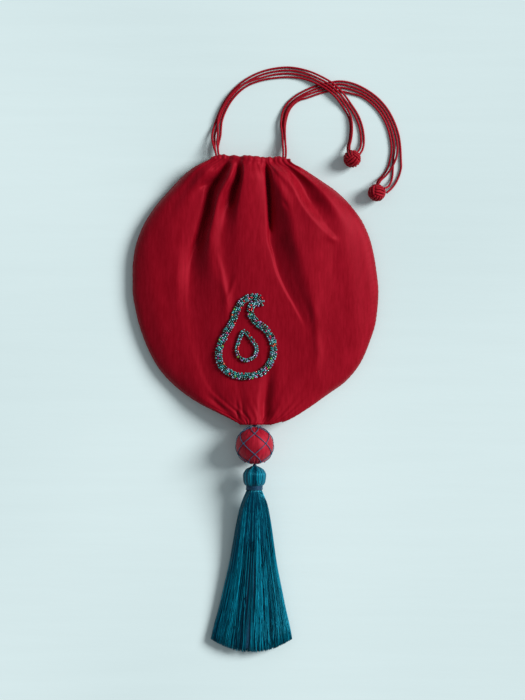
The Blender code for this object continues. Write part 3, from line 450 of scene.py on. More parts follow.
def fold_table(down):
    """(share from left edge to right edge, rise) of each fold line at one place down the cloth."""
    left, right = edge_x(down)
    rows = [-y for y in FOLD_ROWS]
    here = -(CASING_Y + (BOTTOM_Y - CASING_Y) * down) / MM
    table = [(0, 0)]
    for line in FOLD_LINES.values():
        x = smooth_value(list(zip(rows, [x for x, _ in line])), here) * MM
        rise = smooth_value(list(zip(rows, [rise for _, rise in line])), here) * MM
        table.append(((x - left) / (right - left), rise))
    return table + [(1, 0)]


def front_height(across, down):
    """Middle of the front cloth above the table, without its folds."""
    casing_top = front_casing_z(mouth_share(across)) + CASING_MIDDLE
    end_top = FRONT_CASING_Z + CASING_MIDDLE
    seam = SEAM_HEIGHT + SEAM_GAP / 2
    rim = smooth_value([(0, end_top), (0.012, end_top), (0.045, 0.5 * (end_top + seam)),
                        (0.1, seam), (1, seam)], down)
    rim = rim + (LINK_HEIGHT - SEAM_HEIGHT) * bottom_gather(down)
    crown = smooth_value([(v, share * FRONT_HEIGHT) for v, share in CROWN]
                         + [(1, LINK_HEIGHT + GATHER_HALF)], down)
    dome = (1 - np.abs(2 * across - 1) ** 2.8) ** 0.5
    cloth = rim + (crown - rim) * dome
    return casing_top + (cloth - casing_top) * ease(down / 0.05)


def back_height(across, down):
    """Middle of the back cloth: flat on the table, turned up at its edge and at the bottom."""
    flat = CAD_CLOTH / 2
    turn = (1 - np.clip(from_edge(across) / (SEAM_TURN / BAG_WIDTH), 0, 1)) ** 2
    turn = turn * (SEAM_HEIGHT - SEAM_GAP / 2 - flat) * ease((down - 0.02) / 0.07)
    lift = (LINK_HEIGHT - SEAM_HEIGHT) * bottom_gather(down)
    sink = (SEAM_HEIGHT - flat - GATHER_HALF) * (1 - turn / (SEAM_HEIGHT - flat)) ** 2
    gather = 0.5 - 0.5 * np.cos(TURN * BACK_GATHERS * across)
    gather = gather * GATHER_RISE * ease(down / 0.06) * ease((0.34 - down) / 0.28)
    return flat + turn + lift + np.maximum(sink, 0) * bottom_gather(down) + gather


def smooth_path(points, step, closed=False):
    """Points at an even step along a smooth curve through the given points."""
    points = [Vector(point) for point in points]
    count = len(points)
    dense = []
    for i in range(count if closed else count - 1):
        before = points[i - 1] if closed or i else points[0] * 2 - points[1]
        start, end = points[i], points[(i + 1) % count]
        after = points[(i + 2) % count] if closed or i < count - 2 else end * 2 - start
        for t in np.linspace(0, 1, 16, endpoint=False):
            square, cube = t * t, t * t * t
            dense.append(0.5 * (2 * start + (end - before) * t
                                + (2 * before - 5 * start + 4 * end - after) * square
                                + (3 * start - before - 3 * end + after) * cube))
    dense.append(points[0] if closed else points[-1])
    dense = np.array([tuple(point) for point in dense])
    along = lengths_along(dense)
    places = np.linspace(0, along[-1], max(3, round(along[-1] / step) + 1))
    if closed:
        places = places[:-1]
    return np.array([np.interp(places, along, dense[:, k]) for k in range(3)]).T


class Shape:
    """Points and faces of one piece, gathered part by part."""

    def __init__(self):
        self.points = []
        self.faces = []
        self.slots = []
        self.count = 0

    def add(self, points, faces, slot=0):
        self.points.append(np.asarray(points, float).reshape(-1, 3))
        self.faces += [tuple(int(i) + self.count for i in face) for face in faces]
        self.slots += [slot] * len(faces)
        self.count += len(self.points[-1])

    def add_grid(self, rows, closed_round=False, slot=0, caps=False):
        rows = np.asarray(rows, float)
        height, width = rows.shape[:2]
        index = np.arange(height * width).reshape(height, width)
        near = index if closed_round else index[:, :-1]
        far = np.roll(index, -1, axis=1) if closed_round else index[:, 1:]
        faces = np.stack([near[:-1], far[:-1], far[1:], near[1:]], axis=-1).reshape(-1, 4)
        faces = faces.tolist()
        if caps:
            faces += [index[0][::-1].tolist(), index[-1].tolist()]
        self.add(rows, faces, slot)

    def add_tube(self, rings, slot=0):
        self.add_grid(rings, closed_round=True, slot=slot, caps=True)

    def piece(self, name, materials):
        mesh = bpy.data.meshes.new(name)
        mesh.from_pydata(np.concatenate(self.points).tolist(), [], self.faces)
        for material in materials:
            mesh.materials.append(material)
        mesh.polygons.foreach_set("material_index", self.slots)
        mesh.polygons.foreach_set("use_smooth", [True] * len(self.faces))
        mesh.update()
        obj = bpy.data.objects.new(name, mesh)
        bpy.context.scene.collection.objects.link(obj)
        return obj


def tube_piece(name, rings, material):
    """Piece made of one tube with closed ends."""
    shape = Shape()
    shape.add_tube(rings)
    return shape.piece(name, [material])


def take_place(piece, body, slot, *nodes):
    """Lets a piece stand for nodes of the part and move with their body."""
    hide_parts(*nodes)
    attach(piece, body)


def sides_of(path):
    """Two directions square to a path at each of its points, which don't turn suddenly."""
    way = np.gradient(path, axis=0)
    way /= np.linalg.norm(way, axis=1)[:, None]
    side = np.empty_like(path)
    start = np.cross(way[0], (0, 0, 1))
    if np.linalg.norm(start) < 0.1:
        start = np.cross(way[0], (1, 0, 0))
    side[0] = start / np.linalg.norm(start)
    for i in range(1, len(path)):
        turned = side[i - 1] - way[i] * np.dot(side[i - 1], way[i])
        side[i] = turned / np.linalg.norm(turned)
    return side, np.cross(way, side)


def twisted_rings(path, radius, corners=12, plies=3, lay=CORD_LAY, depth=0.1, turn=0.0):
    """Rings of a twisted cord round a path."""
    side, up = sides_of(path)
    along = lengths_along(path)
    angle = circle(corners)[None]
    twist = TURN * along[:, None] / lay + turn
    ring = np.reshape(radius, (-1, 1)) * (1 - depth * np.abs(np.sin(plies * (angle - twist) / 2)))
    return (path[:, None] + ring[..., None] * (np.cos(angle)[..., None] * side[:, None]
                                               + np.sin(angle)[..., None] * up[:, None]))


def noise_of(rng, places, waves, lowest, highest):
    """Smooth random value along a line, as a sum of waves."""
    total = np.zeros_like(places)
    for _ in range(waves):
        frequency = rng.uniform(lowest, highest)
        total += np.sin(TURN * (frequency * places + rng.random())) / waves**0.5
    return total


class Nodes:
    """Node tree of one material, with short calls for the nodes that the materials here use."""

    def __init__(self, name):
        self.material = bpy.data.materials.new(name)
        self.material.use_nodes = True
        self.tree = self.material.node_tree
        self.shader = self.tree.nodes["Principled BSDF"]

    def set(self, **values):
        for name, value in values.items():
            self.shader.inputs[name.replace("_", " ")].default_value = value

    def link(self, start, end):
        self.tree.links.new(start, end)

    def place(self, scale):
        """The surface's own place, stretched by a scale along each axis."""
        coordinates = self.tree.nodes.new("ShaderNodeTexCoord")
        mapping = self.tree.nodes.new("ShaderNodeMapping")
        mapping.inputs["Scale"].default_value = scale
        self.link(coordinates.outputs["Object"], mapping.inputs["Vector"])
        return mapping.outputs["Vector"]

    def noise(self, scale, detail=2.0, roughness=0.55):
        node = self.tree.nodes.new("ShaderNodeTexNoise")
        node.inputs["Scale"].default_value = 1.0
        node.inputs["Detail"].default_value = detail
        node.inputs["Roughness"].default_value = roughness
        self.link(self.place(scale), node.inputs["Vector"])
        return node.outputs["Fac"]

    def ramp(self, value, stops):
        node = self.tree.nodes.new("ShaderNodeValToRGB")
        ends = node.color_ramp.elements
        for i, (place, color) in enumerate(stops):
            end = ends[i] if i < 2 else ends.new(place)
            end.position = place
            end.color = (*color, 1)
        self.link(value, node.inputs["Fac"])
        return node.outputs["Color"]

    def math(self, kind, first, second):
        node = self.tree.nodes.new("ShaderNodeMath")
        node.operation = kind
        for socket, value in zip(node.inputs, (first, second)):
            if isinstance(value, (int, float)):
                socket.default_value = value
            else:
                self.link(value, socket)
        return node.outputs["Value"]

    def tinted(self, color, value, dark, light):
        """Colour multiplied by a grey that runs from dark to light with a value."""
        node = self.tree.nodes.new("ShaderNodeMix")
        node.data_type = "RGBA"
        node.blend_type = "MULTIPLY"
        node.inputs["Factor"].default_value = 1
        self.link(color, node.inputs["A"])
        grey = self.ramp(value, [(0.25, (dark,) * 3), (0.75, (light,) * 3)])
        self.link(grey, node.inputs["B"])
        return node.outputs["Result"]

    def bump(self, height, strength, distance):
        node = self.tree.nodes.new("ShaderNodeBump")
        node.inputs["Strength"].default_value = strength
        node.inputs["Distance"].default_value = distance
        self.link(height, node.inputs["Height"])
        self.link(node.outputs["Normal"], self.shader.inputs["Normal"])

    def color(self, socket):
        self.link(socket, self.shader.inputs["Base Color"])

    def roughness(self, value, low, high):
        node = self.tree.nodes.new("ShaderNodeMapRange")
        node.inputs["To Min"].default_value = low
        node.inputs["To Max"].default_value = high
        self.link(value, node.inputs["Value"])
        self.link(node.outputs["Result"], self.shader.inputs["Roughness"])


def silk_material():
    nodes = Nodes("crimson_slubbed_silk")
    slubs = nodes.noise((560, 84, 300), detail=6, roughness=0.64)
    ribs = nodes.noise((90, 2400, 700), detail=1)
    clouds = nodes.noise((34, 14, 30))
    color = nodes.ramp(slubs, [(0.32, SILK_DARK), (0.68, SILK_LIGHT)])
    nodes.color(nodes.tinted(color, clouds, 0.9, 1.05))
    nodes.roughness(slubs, 0.46, 0.6)
    nodes.bump(nodes.math("ADD", slubs, nodes.math("MULTIPLY", ribs, 0.4)), 0.16, 0.00025)
    nodes.set(Specular_IOR_Level=0.4, Specular_Tint=(1.0, 0.07, 0.13, 1), Sheen_Weight=0.12,
              Sheen_Roughness=0.5, Sheen_Tint=(1.0, 0.06, 0.14, 1))
    return nodes.material


def ball_silk_material():
    nodes = Nodes("ball_silk")
    threads = nodes.noise((420, 60, 420), detail=5, roughness=0.6)
    ribs = nodes.noise((1900, 160, 1900), detail=1)
    nodes.color(nodes.ramp(threads, [(0.3, BALL_DARK), (0.7, BALL_LIGHT)]))
    nodes.roughness(threads, 0.45, 0.6)
    nodes.bump(nodes.math("ADD", threads, ribs), 0.3, 0.00025)
    nodes.set(Specular_IOR_Level=0.4, Specular_Tint=(1.0, 0.2, 0.28, 1), Sheen_Weight=0.2,
              Sheen_Roughness=0.45, Sheen_Tint=(1.0, 0.2, 0.3, 1))
    return nodes.material


def cord_material(name):
    nodes = Nodes(name)
    fibres = nodes.noise((900, 900, 900), detail=3, roughness=0.7)
    clouds = nodes.noise((60, 60, 60), detail=1)
    color = nodes.ramp(fibres, [(0.3, CORD_DARK), (0.68, CORD_LIGHT)])
    nodes.color(nodes.tinted(color, clouds, 0.85, 1.08))
    nodes.roughness(fibres, 0.5, 0.65)
    nodes.bump(fibres, 0.35, 0.0003)
    nodes.set(Specular_IOR_Level=0.35, Specular_Tint=(1.0, 0.2, 0.25, 1), Sheen_Weight=0.12,
              Sheen_Roughness=0.5, Sheen_Tint=(1.0, 0.2, 0.25, 1))
    return nodes.material


def streaked_material(name, scale, stops, roughness, relief, **finish):
    """Material whose colour, roughness and relief all follow the same streaks."""
    nodes = Nodes(name)
    streaks = nodes.noise(scale)
    nodes.color(nodes.ramp(streaks, stops))
    nodes.roughness(streaks, *roughness)
    nodes.bump(streaks, *relief)
    nodes.set(**finish)
    return nodes.material


def thread_material(name, dark, light):
    return streaked_material(
        name, (1600, 1600, 1600), [(0.3, dark), (0.72, light)], (0.36, 0.54), (0.3, 0.0002),
        Specular_IOR_Level=0.4, Specular_Tint=(0.35, 0.6, 1.0, 1), Sheen_Weight=0.05,
        Sheen_Roughness=0.4)


def tassel_material(name, dark, light):
    return streaked_material(
        "tassel_" + name, (1400, 22, 1400), [(0.3, dark), (0.7, light)], (0.24, 0.36),
        (0.25, 0.0002), Specular_IOR_Level=0.8, Specular_Tint=(0.05, 0.65, 0.9, 1),
        Sheen_Weight=0.04, Sheen_Roughness=0.3, Sheen_Tint=(0.1, 0.8, 1.0, 1))


def bead_material(name, color):
    dark = tuple(0.6 * value for value in color)
    light = tuple(min(1, 1.35 * value) for value in color)
    return streaked_material(
        "bead_" + name, (500, 500, 500), [(0.3, dark), (0.7, light)], (0.1, 0.2), (0.1, 0.0001),
        Specular_IOR_Level=0.6, Coat_Weight=0.5, Coat_Roughness=0.06)


def floor_material():
    nodes = Nodes("pale_woven_cloth")
    streaks = nodes.noise((6, 90, 1), detail=4, roughness=0.6)
    weave = nodes.noise((60, 900, 1))
    clouds = nodes.noise((3, 3, 1), detail=1)
    color = nodes.ramp(clouds, [(0.3, FLOOR_DARK), (0.7, FLOOR_LIGHT)])
    nodes.color(nodes.tinted(color, streaks, 0.975, 1.0))
    nodes.roughness(weave, 0.85, 0.95)
    nodes.bump(nodes.math("ADD", weave, streaks), 0.08, 0.0006)
    nodes.set(Specular_IOR_Level=0.1)
    return nodes.material


def make_camera():
    camera = bpy.data.objects.new("camera", bpy.data.cameras.new("camera"))
    bpy.context.scene.collection.objects.link(camera)
    camera.location = (VIEW_X, VIEW_Y, CAMERA_DISTANCE)
    camera.data.sensor_width = SENSOR_WIDTH
    camera.data.lens = SENSOR_WIDTH * CAMERA_DISTANCE / VIEW_HEIGHT
    camera.data.clip_end = 20
    bpy.context.scene.camera = camera


def knot_centre(x, y):
    return Vector((x, y, KNOT_DIAMETER / 2 + TABLE_GAP))


def free_strand_path(exit_side, front, outer, bundle, strand, knot):
    """Points of a strand from the casing's end to its knot, as the part's source lays them."""
    offsets, tail = strand
    across = 0 if exit_side < 0 else 1
    end_x = MOUTH_LEFT if exit_side < 0 else MOUTH_RIGHT
    centre_y = casing_y(across) + STRAND_STEP / 2 + CORD_TURN
    turn = CORD_TURN + (STRAND_STEP if outer else 0)
    z = FRONT_CASING_Z - STRAND_STEP / 2 if front else BACK_CASING_Z + STRAND_STEP / 2
    start = [Vector((end_x + exit_side * turn * math.sin(angle),
                     centre_y - turn * math.cos(angle), z))
             for angle in np.radians([0, 22.5, 45, 67.5, 90])]
    middle = []
    for i, ((x, y), (offset, height)) in enumerate(zip(bundle, offsets)):
        after = bundle[min(i + 1, len(bundle) - 1)]
        before = bundle[max(i - 1, 0)]
        way = Vector((after[0] - before[0], after[1] - before[1])).normalized()
        middle.append(Vector((x - way.y * offset, y + way.x * offset, height)) * MM)
    rest = smooth_path([start[-1]] + middle + [Vector(point) * MM for point in tail], 1 * MM)
    rest[:, 2] = np.maximum(rest[:, 2], CORD / 2 + TABLE_GAP)
    clear = KNOT_DIAMETER / 2 - CORD / 2
    kept = [point for point in rest if (Vector(point) - knot).length > clear]
    path = smooth_path(kept, 2.8 * CORD)
    return start[:-1] + [Vector(point) for point in path]


def strand_in_casing(offset, start_side, casing_z, up):
    """Points of a strand through one casing, from the left end to the right."""
    points = []
    for across in np.linspace(0, 1, 11):
        turn = math.pi * (across if start_side < 0 else across + 1)
        spread = STRAND_STEP / 2
        x = MOUTH_LEFT + (MOUTH_RIGHT - MOUTH_LEFT) * across
        y = casing_y(across) + offset * math.cos(turn) + spread * math.sin(turn)
        z = float(casing_z(across)) + up * (offset * math.sin(turn) - spread * math.cos(turn))
        points.append(Vector((x, y, z)))
    return points


def held_strand_path(offset, exit_side):
    """Points of a strand that leaves the casing at one end and loops round at the other."""
    front = strand_in_casing(offset, exit_side, front_casing_z, 1)
    back = strand_in_casing(offset, exit_side, lambda _across: BACK_CASING_Z, -1)
    if exit_side > 0:
        front.reverse()
        back.reverse()
    radius = (front[-1].z - back[-1].z) / 2
    middle = (front[-1].z + back[-1].z) / 2
    inner_height = radius - STRAND_STEP
    reach = CORD_TURN + 2 * STRAND_STEP + CORD_GAP - math.sqrt(radius**2 - inner_height**2)
    arch = []
    for angle in np.linspace(0, math.pi, 11):
        x = front[-1].x - exit_side * (reach + radius * math.sin(angle))
        arch.append(Vector((x, front[-1].y, middle + radius * math.cos(angle))))
    return front + arch + back[::-1]


def cord_piece(name, points, material):
    """Twisted cord along a route."""
    path = smooth_path(points, 0.55 * MM)
    return tube_piece(name, twisted_rings(path, CORD / 2, plies=CORD_PLIES), material), path


def woven_knot(name, centre, tilt, materials):
    """Button knot: on each side of a ball, four cords run side by side under their neighbours.

    The second material is for the ball under them.
    """
    shape = Shape()
    radius = KNOT_DIAMETER / 2 - KNOT_CORD / 2
    turn = Euler([math.radians(a) for a in tilt]).to_matrix()
    axes = np.eye(3)
    for face in range(3):
        for sign in (-1, 1):
            out, along, across = axes[face] * sign, axes[(face + 1) % 3], axes[(face + 2) % 3]
            for place in (-0.69, -0.23, 0.23, 0.69):
                run = np.linspace(-1.25, 1.25, 23)
                reach = radius * (1 - 0.2 * ease((np.abs(run) - 0.62) / 0.55))
                reach = reach * (1 + 0.012 * math.cos(9 * place + face))
                line = out[None] + run[:, None] * along[None] + place * across[None]
                line = line / np.linalg.norm(line, axis=1)[:, None] * reach[:, None]
                line = line @ np.array(turn).T + np.array(centre)
                shape.add_tube(twisted_rings(line, KNOT_CORD / 2, plies=CORD_PLIES, turn=place))
    core = radius - 0.35 * KNOT_CORD
    rows = [[(core * math.sin(polar) * math.cos(around), core * math.sin(polar) * math.sin(around),
              core * math.cos(polar)) for around in circle(20)]
            for polar in np.linspace(0.02, math.pi - 0.02, 14)]
    shape.add_tube(np.array(rows) + np.array(centre), slot=1)
    return shape.piece(name, materials)


def make_drawstrings(material, core_material):
    """Eight free strands, their two ball knots, and the strands in the casing."""
    ways = {"a": (True, True), "b": (False, True), "c": (True, False), "d": (False, False)}
    sides = [
        ("left", -1, LEFT_BUNDLE, LEFT_STRANDS, knot_centre(LEFT_KNOT_X, LEFT_KNOT_Y),
         LEFT_KNOT_TILT),
        ("right", 1, RIGHT_BUNDLE, RIGHT_STRANDS, knot_centre(RIGHT_KNOT_X, RIGHT_KNOT_Y),
         RIGHT_KNOT_TILT),
    ]
    for side, exit_side, bundle, strands, centre, tilt in sides:
        knot = woven_knot(f"{side}_woven_knot", centre, tilt, [material, core_material])
        take_place(knot, "bag", "cord", f"{side}_ball_knot")
        for letter, (front, outer) in ways.items():
            outer = outer if exit_side < 0 else not outer
            points = free_strand_path(exit_side, front, outer, bundle, strands[letter], centre)
            cord, path = cord_piece(f"{side}_drawstring_{letter}", points, material)
            take_place(cord, "bag", "cord", f"{side}_strand_{letter}")
        for number, offset in ((1, STRAND_STEP / 2), (2, -STRAND_STEP / 2)):
            name = f"{side}_cord_in_casing_{number}"
            cord, _ = cord_piece(name, held_strand_path(offset, exit_side), material)
            take_place(cord, "bag", "cord", f"{side}_strand_in_casing_{number}")


def crease_rise(x, y):
    """Sum of the small creases at a place of the front."""
    total = np.zeros_like(x)
    for half_width, line in CREASES:
        nearest = np.full_like(x, 1.0)
        rise = np.zeros_like(x)
        for start, end in zip(line, line[1:]):
            start, end = np.array(start) * MM, np.array(end) * MM
            step = end[:2] - start[:2]
            t = ((x - start[0]) * step[0] + (y - start[1]) * step[1]) / (step @ step)
            t = np.clip(t, 0, 1)
            away = np.hypot(x - start[0] - step[0] * t, y - start[1] - step[1] * t)
            closer = away < nearest
            rise = np.where(closer, start[2] + (end[2] - start[2]) * t, rise)
            nearest = np.where(closer, away, nearest)
        total += rise * np.exp(-((nearest / (half_width * MM)) ** 2))
    return total


def pucker(rng, across, down, waves, low, high):
    """Fine gathers that run down the cloth and drift a little sideways."""
    total = np.zeros_like(down + across)
    for _ in range(waves):
        frequency = rng.uniform(low, high)
        drift = rng.uniform(-0.02, 0.02) * down + 0.004 * np.sin(TURN * (
            rng.uniform(1, 3) * down + rng.random()))
        total += np.sin(TURN * (frequency * (across + drift) + rng.random()))
    return total / waves**0.5


def soft_unevenness(rng, x, y, waves, shortest, longest):
    """Low random swells of the cloth."""
    total = np.zeros_like(x)
    for _ in range(waves):
        length = rng.uniform(shortest, longest)
        angle = rng.uniform(-0.5, 0.5)
        along = (x * math.cos(angle) + 0.35 * y * math.sin(angle)) / length
        total += np.sin(TURN * (along + 0.3 * y / length + rng.random()))
    return total / waves**0.5


def mouth_gathers(across, down):
    """Swell of the casing between the folds that run over it, from 0 to 1."""
    rng = np.random.default_rng(SEED + 20)
    shape = np.clip(0.78 + 0.2 * pucker(rng, across, down, 6, 4, 17), 0, 1)
    places = dict(zip(FOLD_LINES, [share for share, _ in fold_table(0.0)[1:]]))
    for name, width in CASING_NOTCHES.items():
        shape = shape * (1 - 0.95 * np.exp(-(((across - places[name]) / width) ** 2)))
    return shape


def front_detail(rng, across, down, x, y):
    """What the front cloth has on top of its main folds."""
    inner = ease(from_edge(across) / 0.06)
    rise = CASING_SCALLOP * (mouth_gathers(across, down) - 0.42) * np.exp(-((down / 0.07) ** 2))
    long_mouth = ease(down / 0.03) * np.exp(-((down / 0.22) ** 2))
    rise += 0.3 * MM * pucker(rng, across, down, 4, 7, 13) * long_mouth * inner
    bottom = ease((down - 0.8) / 0.2)
    rise += 0.22 * MM * pucker(rng, across, down, 4, 7, 16) * bottom * inner
    edge = ease(from_edge(across) / 0.01) * np.exp(-((from_edge(across) / 0.03) ** 2))
    rise += 0.1 * MM * np.sin(TURN * (np.hypot(x, y) / 0.006 + 46 * down)) * edge
    middle = ease(down / 0.08) * ease((1 - down) / 0.1) * inner
    rise += 0.22 * MM * soft_unevenness(rng, x, y, 6, 0.018, 0.05) * middle
    return rise + crease_rise(x, y) * inner * ease(down / 0.02)


def front_shares(down):
    """Places across the front whose columns run along its folds."""
    lines = [share for share, _ in fold_table(down)]
    shares = [0]
    for start, end, columns in zip(lines, lines[1:], COLUMNS_BETWEEN_FOLDS):
        shares += list(np.linspace(start, end, columns + 1)[1:])
    shares = np.array(shares)
    first, last = COLUMNS_BETWEEN_FOLDS[0], COLUMNS_BETWEEN_FOLDS[-1]
    shares[: first + 1] = shares[first] * np.linspace(0, 1, first + 1) ** 1.5
    bend = np.linspace(1, 0, last + 1) ** 1.5
    shares[-last - 1 :] = 1 - (1 - shares[-last - 1]) * bend
    return shares


def casing_rows(across, casing_z, up):
    """Rows of the rolled casing at the mouth, which closes towards its two ends."""
    rows = []
    scallops = CASING_SCALLOP * (mouth_gathers(across, np.zeros_like(across)) - 0.42)
    share = mouth_share(across)
    taper = 0.45 + 0.55 * ease(from_edge(across) / 0.13)
    for step in range(CASING_STEPS, 0, -1):
        turn = CASING_WRAP * step / CASING_STEPS
        bulge = CASING_MIDDLE + scallops * ease((3.6 - turn) / 1.2)
        y = casing_y(share) + bulge * math.sin(turn) * taper
        z = np.maximum(casing_z(share) + up * bulge * math.cos(turn), 0.4 * MM)
        rows.append(xyz(top_x(across), y, z))
    return rows


def cloth_piece(name, rows, material):
    """Cloth with its thickness, from rows of points that run down its middle."""
    shape = Shape()
    shape.add_grid(np.array(rows))
    panel = shape.piece(name, [material])
    solidify = panel.modifiers.new("Cloth thickness", "SOLIDIFY")
    solidify.thickness = CLOTH
    solidify.offset = 0
    return panel


def make_front(material):
    rng = np.random.default_rng(SEED)
    downs = np.linspace(0, 1, FRONT_ROWS) ** 1.25
    rows = casing_rows(front_shares(0.0), front_casing_z, 1)
    grid = np.array([front_shares(down) for down in downs])
    down = np.repeat(downs[:, None], grid.shape[1], axis=1)
    x, y = plan(grid, down)
    folds = np.array([smooth_value(fold_table(place), row) for place, row in zip(downs, grid)])
    z = front_height(grid, down) + folds * ease(down / 0.035)
    z += front_detail(rng, grid, down, x, y)
    rows += list(xyz(x, y, z))
    return cloth_piece("front_cloth", rows, material)


def make_back(material):
    rng = np.random.default_rng(SEED + 1)
    share = np.linspace(-1, 1, BACK_COLUMNS)
    share = 0.5 + 0.5 * np.sign(share) * np.abs(share) ** 0.85
    rows = casing_rows(share, lambda across: np.full_like(across, BACK_CASING_Z), -1)
    down = np.repeat(np.linspace(0, 1, BACK_ROWS)[:, None] ** 1.2, BACK_COLUMNS, axis=1)
    across = np.repeat(share[None], BACK_ROWS, axis=0)
    x, y = plan(across, down)
    gathers = 0.5 + 0.5 * pucker(rng, across, down, 4, 8, 22)
    fade = ease(down / 0.05) * np.exp(-((down / 0.2) ** 2)) * ease(from_edge(across) / 0.08)
    z = back_height(across, down) + 0.5 * MM * np.maximum(gathers, 0) * fade
    swell = 0.5 + 0.5 * soft_unevenness(rng, x, y, 6, 0.02, 0.05)
    z += 0.25 * MM * np.maximum(swell, 0) * ease(down / 0.1) * ease((1 - down) / 0.15)
    rows += list(xyz(x, y, z))
    return cloth_piece("back_cloth", rows, material)


def make_seam(side, material):
    """Rolled edge of the side seam, from the casing to the gathered bottom."""
    rng = np.random.default_rng(SEED + 2 + side)
    down = np.linspace(0.02, 0.992, 420)
    across = np.full_like(down, 0 if side < 0 else 1)
    x, y = plan(across, down)
    z = (back_height(across, down) + front_height(across, down)) / 2
    path = xyz(x - side * 0.25 * MM, y, z)
    path = smooth_path([tuple(point) for point in path[::3]], 0.9 * MM)
    along = np.linspace(0, 1, len(path))
    thick = SEAM_ROLL / 2 * (1 + 0.07 * noise_of(rng, along, 8, 30, 90))
    rings = twisted_rings(path, thick, corners=10, plies=1, lay=0.4, depth=0.05)
    return tube_piece("left_seam_roll" if side < 0 else "right_seam_roll", rings, material)


def make_bag(material):
    front = make_front(material)
    back = make_back(material)
    seams = [make_seam(side, material) for side in (-1, 1)]
    for piece in [front, back] + seams:
        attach(piece, "bag")
    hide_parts("front_panel")
    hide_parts("back_panel")
    return front


def surface_tree(obj):
    bpy.context.view_layer.update()
    return BVHTree.FromObject(obj, bpy.context.evaluated_depsgraph_get())


def bead_rings():
    """Points of one small bead whose hole runs along X."""
    profile = [(0.3, -0.42), (0.72, -0.5), (1.0, -0.26), (1.0, 0.26), (0.72, 0.5), (0.3, 0.42)]
    around = circle(9)
    return np.array([xyz(x * BEAD_LENGTH, r * BEAD_WIDTH / 2 * np.cos(around),
                         r * BEAD_WIDTH / 2 * np.sin(around)) for r, x in profile + profile[:1]])


def bead_rows(name, outline, tree, width, rng, materials):
    """Beads sewn across a closed outline in short slanting rows."""
    flat = [(MOTIF_X + x * MOTIF_HEIGHT, MOTIF_Y + y * MOTIF_HEIGHT, 0) for x, y in outline]
    path = smooth_path(flat, BEAD_ROW_STEP, closed=True)
    chances = np.array([share for *_, share in BEAD_COLORS], float)
    chances /= chances.sum()
    bead = bead_rings()
    per_row = max(2, round(width / (BEAD_LENGTH * 1.12)))
    shape = Shape()
    for i, (x, y, _) in enumerate(path):
        way = Vector(path[(i + 1) % len(path)] - path[i - 1]).normalized()
        slant = math.radians(BEAD_ROW_SLANT + rng.normal(0, 9))
        row = Vector((-way.y, way.x, 0))
        row = row * math.cos(slant) + way * math.sin(slant)
        for j in range(per_row):
            share = (j + 0.5) / per_row * 2 - 1
            spot = Vector((x, y, 0.1)) + row * share * width / 2
            spot += Vector((rng.normal(0, 0.14), rng.normal(0, 0.14), 0)) * MM
            hit, normal, _, _ = tree.ray_cast(spot, Vector((0, 0, -1)))
            if normal.z < 0:
                normal = -normal
            lift = BEAD_WIDTH / 2 + 0.05 * MM + (1 - share * share) * 0.7 * MM
            size = rng.uniform(0.86, 1.08)
            along = (row - normal * row.dot(normal)).normalized()
            along = (along + Vector(rng.normal(0, 0.16, 3))).normalized()
            across = normal.cross(along).normalized()
            up = along.cross(across)
            turn = np.array([along, across, up])
            points = bead.reshape(-1, 3) * size @ turn
            points = points + np.array(hit + normal * lift)
            shape.add_grid(points.reshape(bead.shape), closed_round=True,
                           slot=int(rng.choice(len(chances), p=chances)))
    return shape.piece(name, materials)


def make_motif(front):
    rng = np.random.default_rng(SEED + 5)
    tree = surface_tree(front)
    materials = [bead_material(name, color) for name, color, _ in BEAD_COLORS]
    for part, outline, width in (("rim", PAISLEY, BEAD_BAND), ("heart", HEART, 0.6 * BEAD_BAND)):
        beads = bead_rows(f"paisley_{part}_bead_rows", outline, tree, width, rng, materials)
        take_place(beads, "bag", "beads", f"paisley_{part}_beads")


def make_ball(material):
    """Cloth drawn over a ball, gathered at its two ends into small pleats."""
    rng = np.random.default_rng(SEED + 6)
    around = circle(144)
    pleats, fine = np.zeros_like(around), np.zeros_like(around)
    for total, waves, fewest, most in ((pleats, 7, 7, 19), (fine, 5, 22, 40)):
        for _ in range(waves):
            count = rng.integers(fewest, most)
            total += np.sin(count * around + rng.uniform(0, TURN)) / waves**0.5
    rows = []
    for polar in np.linspace(0.16, math.pi - 0.16, 72):
        ends = abs(math.cos(polar)) ** 1.5
        radius = BALL_RADIUS - 0.05 * MM + (0.05 + 0.32 * ends) * MM * np.minimum(pleats, 0.3)
        radius = radius + 0.16 * ends * MM * np.minimum(fine, 0.2)
        rows.append(xyz(radius * math.sin(polar) * np.cos(around), radius * math.cos(polar),
                        radius * math.sin(polar) * np.sin(around)))
    ball = tube_piece("ball_cloth", np.array(rows) + np.array(BALL_CENTRE), material)
    take_place(ball, "netted_ball", "silk", "ball")


def net_place(level, around, radius):
    """Place over the ball at an angle from its top and an angle round it."""
    return np.array(BALL_CENTRE) + radius * np.array([
        math.sin(level) * math.cos(around), math.cos(level), math.sin(level) * math.sin(around)])


